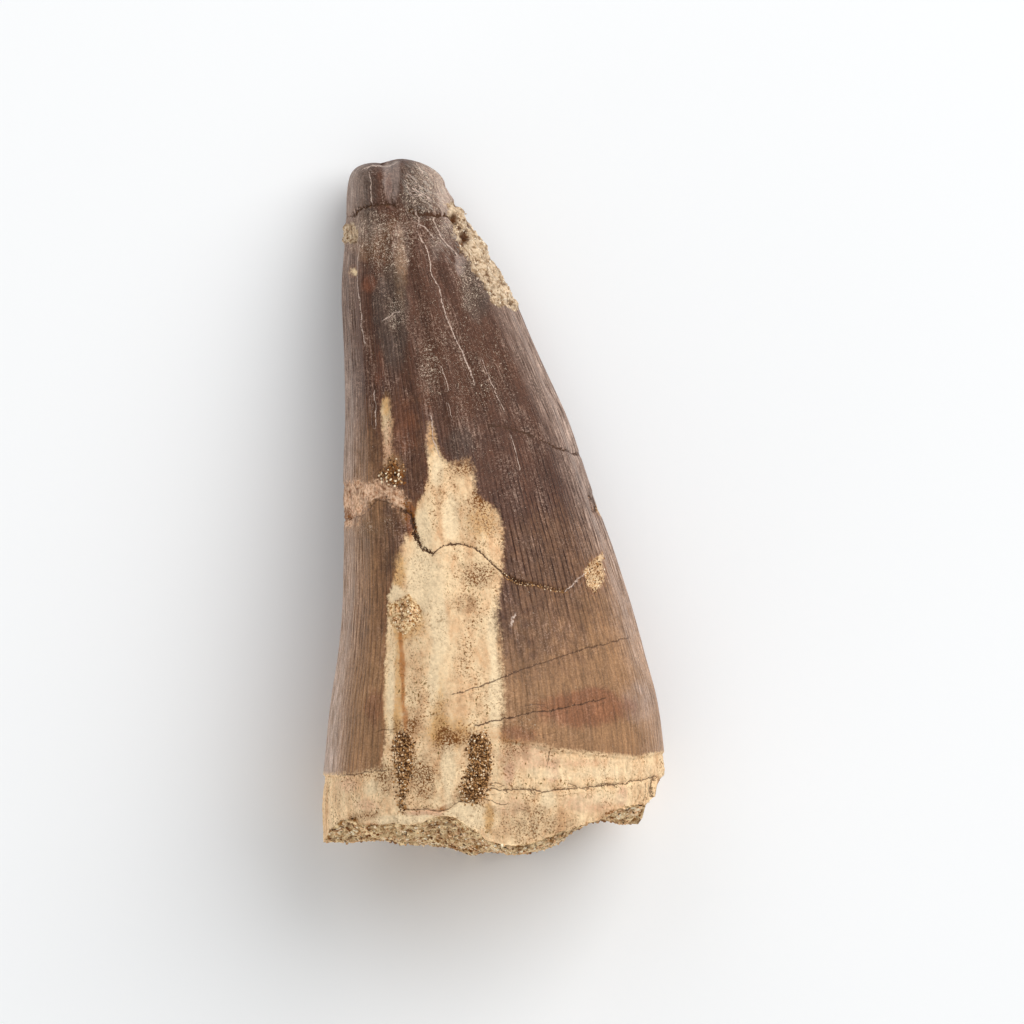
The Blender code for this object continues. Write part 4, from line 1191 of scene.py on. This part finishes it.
def dentine_colour(tree, place, mottle, grain):
    """Bare dentine: cream with tan clouds, fine brown grit, and pores drawn out lengthwise."""
    patches = drawn_out(tree, 3.0, 4.0, detail=7.0, roughness=0.72)
    patches = add(tree, "MapRange", {"Value": patches, "From Min": 0.38, "From Max": 0.58})
    ivory = stain(tree, "ivory", mottle, reach=1.2)
    pores = {"Value": drawn_out(tree, 0.4, 0.44, detail=2.0), "From Min": 0.62, "From Max": 0.68}
    marks = []
    for mark, cloud_mm, low, least, on_ivory in (
        (grit(tree, place, size_mm=0.22, low=0.55, high=0.61), 4.0, 0.44, 0.08, 0.5),
        (add(tree, "MapRange", pores), 5.0, 0.46, 0.0, 0.25),
    ):
        cloud = {"Value": drawn_out(tree, 4.0, cloud_mm, detail=2.0), "From Min": low, "From Max": 0.6}
        cloud = add(tree, "MapRange", {**cloud, "To Min": least})
        fewer = add(tree, "MapRange", {"Value": ivory, "To Min": 1.0, "To Max": on_ivory})
        mark = add(tree, "Math", {0: mark, 1: cloud}, operation="MULTIPLY")
        marks.append(add(tree, "Math", {0: mark, 1: fewer}, operation="MULTIPLY"))
    gritty, porous = marks
    fine = {"Vector": place, "Scale": 1 / (0.18 * MM), "Detail": 3.0, "Roughness": 0.75}
    fine = peppered(tree, "brown", add(tree, "TexNoise", fine))
    colour = coated(
        tree, DENTINE_TAN, (patches, DENTINE_CREAM),
        (stain(tree, "pink", grain, reach=1.2, strongest=0.7), DENTINE_PINK),
        (stain(tree, "ochre", grain, reach=1.2, strongest=0.75), OCHRE),
        (stain(tree, "red", grain, reach=1.2, strongest=0.75), DENTINE_RED),
        (ivory, IVORY), (gritty, DENTINE_BROWN),
        (stain(tree, "brown", mottle, strongest=0.22), STAIN_BROWN),
        (fine, STAIN_BROWN), (porous, PORE_OLIVE),
    )
    # Painted shade in the dentine's small hollows.
    return shaded_in_hollows(tree, toned(tree, colour, grain, 0.82, 1.16), 0.3)


def shaded_in_hollows(tree, colour, strength):
    """Painted shade in the small hollows of a rough surface."""
    hollow = add(tree, "Attribute", output="Fac", attribute_name="hollow")
    hollow = add(tree, "Math", {0: hollow, 1: strength}, operation="MULTIPLY")
    return coated(tree, colour, (hollow, HOLLOW_SHADE_BROWN), blend="MULTIPLY")


def cemented(tree, place, colour, mottle, grain):
    """The worn spall, the crust of pale sand and the brown sand under loose grains, over a colour."""
    # The last number of each row is how strongly painted shade darkens its hollows.
    for name, size_mm, low, high, dark, pale, wander, soft, hollow_shade in (
        ("spall", 0.3, 0.32, 0.62, SPALL_BROWN, SPALL_PINK, 2.4, 0.3, 0.8),
        ("crust", 0.5, 0.34, 0.58, CRUST_TAN, CRUST_BEIGE, 1.0, 0.08, 1.0),
        ("lump", 0.3, 0.38, 0.58, LUMP_TAN, LUMP_CREAM, 0.8, 0.08, 0.7),
        ("sand", 0.24, 0.42, 0.62, SAND_DARK, SAND_BROWN, 2.0, 0.16, 0.6),
    ):
        sandy = coated(tree, dark, (grit(tree, place, size_mm, low, high), pale))
        sandy = toned(tree, shaded_in_hollows(tree, sandy, hollow_shade), mottle, 0.6, 1.2)
        colour = coated(tree, colour, (region(tree, name, grain, wander, soft), sandy))
    return colour


def lined(tree, place, colour, grain):
    """Rusty grit, open cracks, dark and partly filled with sand, and pale hairlines, over a colour."""
    filled = coated(tree, CRACK_DARK, (grit(tree, place, size_mm=0.35, low=0.62, high=0.7), SAND_BROWN))
    broken = add(tree, "MapRange", {"Value": grain, "From Min": 0.36, "From Max": 0.5})
    pale = {0: drawn_line(tree, "pale", grain), 1: broken}
    return coated(
        tree, colour, (peppered(tree, "rust", grain), RUST_BROWN),
        (drawn_line(tree, "crack", grain), filled),
        (add(tree, "Math", pale, operation="MULTIPLY"), PALE_SCRATCH),
    )


def flecked(tree, place, colour):
    """Pale grit caught in the worn enamel, and dark pits between it."""
    worn = add(tree, "Attribute", output="Fac", attribute_name="worn")
    for size_mm, level, lean, fleck_colour in (
        (0.18, 0.675, 0.09, PALE_FLECK), (0.34, 0.71, 0.12, PALE_FLECK), (0.3, 0.68, 0.06, DARK_FLECK),
    ):
        fleck = {"Vector": place, "Scale": 1 / (size_mm * MM), "Detail": 3.0, "Roughness": 0.8}
        fleck = add(tree, "TexNoise", {**fleck, "Distortion": 1.6})
        fleck = add(tree, "Math", {0: worn, 1: lean, 2: fleck}, operation="MULTIPLY_ADD")
        fleck = add(tree, "MapRange", {"Value": fleck, "From Min": level, "From Max": level + 0.05})
        colour = coated(tree, colour, (fleck, fleck_colour))
    return colour


def scratched(tree, place, colour):
    """Fine silvery scratches that run down to the right, drawn as wide as the eye can still see."""
    where = add(tree, "Attribute", output="Fac", attribute_name="scratched")
    for wide_mm, turn, level in ((0.13, -0.85, 0.6), (0.2, -0.55, 0.64)):
        across = {"Vector": place, "Rotation": (0.0, 0.0, turn), "Scale": (1.3 * MM, wide_mm * MM, MM)}
        across = add(tree, "Mapping", across, vector_type="TEXTURE")
        lines = {"Vector": across, "Scale": 1.0, "Detail": 2.0, "Distortion": 0.3}
        lines = {"Value": add(tree, "TexNoise", lines), "From Min": level - 0.04}
        lines = add(tree, "MapRange", {**lines, "From Max": level + 0.03, "To Max": 0.75})
        lines = add(tree, "Math", {0: lines, 1: where}, operation="MULTIPLY")
        colour = coated(tree, colour, (lines, SILVER_SCRATCH))
    return colour


def worn_fossil_enamel():
    """Fossil enamel, worn through to dentine in places: a semi-gloss brown skin with fine ribs."""
    material, tree, shader, place = new_material("worn_fossil_enamel")
    mottle, grain = grainy(tree, place)
    valley = rib_lines(tree)
    colour = enamel_colour(tree, place, mottle, grain, valley)
    colour = flecked(tree, place, scratched(tree, place, colour))
    fade = add(tree, "Attribute", output="Fac", attribute_name="fade")
    wander = add(tree, "MapRange", {"Value": fade, "To Min": 0.6, "To Max": 2.0})
    soft = add(tree, "MapRange", {"Value": fade, "To Min": 0.16, "To Max": 0.6})
    rusty = {"Value": stain(tree, "fade", grain, reach=0.6), "To Min": 0.3, "To Max": 0.1}
    fringe = region(tree, "bare", grain, wander=1.2, soft=0.3, grown=0.25)
    rusty = {0: fringe, 1: add(tree, "MapRange", rusty)}
    bare = region(tree, "bare", grain, wander, soft)
    root = region(tree, "root", grain, wander, soft, grown=0.1)
    bare = add(tree, "Math", {0: bare, 1: root}, operation="MAXIMUM")
    colour = coated(
        tree, colour, (add(tree, "Math", rusty, operation="MULTIPLY"), FRINGE_RUST),
        (bare, dentine_colour(tree, place, mottle, grain)),
    )
    colour = lined(tree, place, cemented(tree, place, colour, mottle, grain), grain)
    dull = {0: bare, 1: stain(tree, "worn", mottle, reach=1.0)}
    dull = add(tree, "Math", dull, operation="MAXIMUM")
    roughness = add(tree, "MapRange", {"Value": dull, "To Min": 0.4, "To Max": 0.75})
    height = {0: valley, 1: -0.7, 2: drawn_out(tree, 0.3, 2.0)}
    height = add(tree, "Math", height, operation="MULTIPLY_ADD")
    height = add(tree, "Mix", {"Factor": dull, "A": height, "B": grain}, data_type="FLOAT")
    finish_surface(tree, shader, colour, roughness, height, depth_mm=0.06, shine=ENAMEL_SHINE)
    return material


def fossil_root_dentine():
    """The stub of root: matt, porous, cream dentine with a fine lengthwise grain."""
    material, tree, shader, place = new_material("fossil_root_dentine")
    mottle, grain = grainy(tree, place)
    colour = dentine_colour(tree, place, mottle, grain)
    colour = toned(tree, colour, drawn_out(tree, 0.5, 1.2), 0.88, 1.12)
    colour = lined(tree, place, cemented(tree, place, colour, mottle, grain), grain)
    roughness = add(tree, "MapRange", {"Value": grain, "To Min": 0.7, "To Max": 0.9})
    finish_surface(tree, shader, colour, roughness, grain, depth_mm=0.1)
    return material


def broken_fossil_dentine():
    """The broken end: coarse flakes of cream dentine, stained brown by the sand between them, with
    painted shade in its hollows.
    """
    material, tree, shader, place = new_material("broken_fossil_dentine")
    place = add(tree, "Mapping", {"Vector": place, "Scale": (1.0, 1.0, 0.2)})
    _mottle, grain = grainy(tree, place)
    flakes = {"Vector": place, "Scale": 1 / (0.7 * MM), "Detail": 6.0, "Roughness": 0.75}
    flakes = {"Value": add(tree, "TexNoise", flakes), "From Min": 0.4, "From Max": 0.58}
    colour = coated(
        tree, BREAK_BROWN, (add(tree, "MapRange", flakes), BREAK_CREAM),
        (grit(tree, place, size_mm=0.4, low=0.55, high=0.66), SAND_DARK),
    )
    roughness = add(tree, "MapRange", {"Value": grain, "To Min": 0.75, "To Max": 0.95})
    # Painted shade in the face's hollows.
    finish_surface(tree, shader, shaded_in_hollows(tree, colour, 1.0), roughness, grain, depth_mm=0.25)
    return material


def grains_of(name, dark, middle, pale):
    """Grains of phosphate sand: hard, rounded, each with a tone between dark and pale."""
    material, tree, shader, place = new_material(name)
    tone = add(tree, "Attribute", output="Fac", attribute_name="tone")
    low = add(tree, "MapRange", {"Value": tone, "From Min": 0.0, "From Max": 0.5})
    high = add(tree, "MapRange", {"Value": tone, "From Min": 0.5, "From Max": 1.0})
    grain = add(tree, "TexNoise", {"Vector": place, "Scale": 1 / (0.12 * MM), "Detail": 2.0})
    colour = toned(tree, coated(tree, dark, (low, middle), (high, pale)), grain, 0.85, 1.15)
    roughness = add(tree, "MapRange", {"Value": grain, "To Min": 0.45, "To Max": 0.7})
    finish_surface(tree, shader, colour, roughness, grain, depth_mm=0.02)
    return material


def pale_board():
    """The floor: smooth, matt white board, which gives a soft shadow and nothing to look at."""
    material = bpy.data.materials.new("pale_board")
    material.use_nodes = True
    shader = material.node_tree.nodes["Principled BSDF"]
    shader.inputs["Base Color"].default_value = linear(BOARD_WHITE)
    shader.inputs["Roughness"].default_value = BOARD_ROUGHNESS
    shader.inputs["Specular IOR Level"].default_value = DULL_SHINE
    return material


def make_stage():
    """The floor, soft light from the upper right, and the camera straight above."""
    shape = bmesh.new()
    bmesh.ops.create_grid(shape, x_segments=1, y_segments=1, size=FLOOR_HALF_WIDTH)
    floor = set_out("floor", shape, pale_board())
    for name, width, height, watts, place in LIGHTS:
        lamp = bpy.data.lights.new(name, "AREA")
        lamp.shape = "RECTANGLE"
        lamp.size, lamp.size_y = width, height
        lamp.energy = watts
        light = bpy.data.objects.new(name, lamp)
        light.location = place
        light.rotation_euler = (-light.location).to_track_quat("-Z", "Y").to_euler()
        bpy.context.scene.collection.objects.link(light)
    world = bpy.data.worlds.new("pale_room")
    world.use_nodes = True
    world.node_tree.nodes["Background"].inputs["Color"].default_value = ROOM_COLOUR
    world.node_tree.nodes["Background"].inputs["Strength"].default_value = ROOM_STRENGTH
    bpy.context.scene.world = world
    lens = bpy.data.cameras.new("camera")
    lens.lens, lens.sensor_width = FOCAL_LENGTH, SENSOR_WIDTH
    lens.clip_start, lens.clip_end = CLIP_START, CLIP_END
    camera = bpy.data.objects.new("camera", lens)
    camera.location = CAMERA_PLACE
    bpy.context.scene.collection.objects.link(camera)
    bpy.context.scene.camera = camera
    bpy.context.scene.view_settings.view_transform = "Standard"


def places_for_grains(grid):
    """How likely grains are to lie at each point of the grid, for each kind of place."""
    x, d, fields = grid["x"], grid["d"], grid["fields"]
    spindle, column, hole = (
        smoothstep(-0.6, 0.35, inside_outlines(x, d, (outline,))) * (fields["sand"] > -1.9)
        for outline in SAND_OUTLINES
    )
    left, right, middle, reach = SANDY_CRACK
    crack = (np.abs(fields["crack"]) < 1.2) & (x > left) & (x < right) & (np.abs(d - middle) < reach)
    chip = (fields["bare"] > -0.1) & (x > SANDY_CHIP[0]) & (d > SANDY_CHIP[1])
    on_break = np.zeros(x.shape)
    on_break[grid["crown_rows"] :] = 1.0
    return {
        "spindle": spindle, "column": column, "hole": hole,
        "hole_foot": hole * smoothstep(31.2, 31.8, d), "crack": crack * 1.0, "chip": chip * 1.0,
        "crust": smoothstep(-0.1, 0.4, fields["crust"]) * (fields["hollow"] < 0.7),
        "lump": smoothstep(-0.1, 0.4, fields["lump"]), "break": on_break,
    }


def main():
    """Makes the tooth and its sand, and sets them on the floor."""
    grid = tooth_grid()
    body = make_tooth(grid, worn_fossil_enamel(), fossil_root_dentine(), broken_fossil_dentine())
    sand = grains_of("brown_phosphate_sand", *SAND_TONES)
    crust_sand = grains_of("cemented_pale_sand", *CRUST_TONES)
    crumbs = grains_of("crumbled_fossil_dentine", *CRUMB_TONES)
    places_for = places_for_grains(grid)
    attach(body, "root")
    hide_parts("mosasaur_tooth")
    for seed, (name, material) in enumerate((
        ("sand_in_hollows", sand), ("sand_in_crack", sand), ("sand_crust", crust_sand),
        ("crumbs_of_dentine", crumbs),
    ), 1):
        piece = make_grains(grid, places_for, name, material, seed)
        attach(piece, "root")
        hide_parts("mosasaur_tooth")
    make_stage()


main()
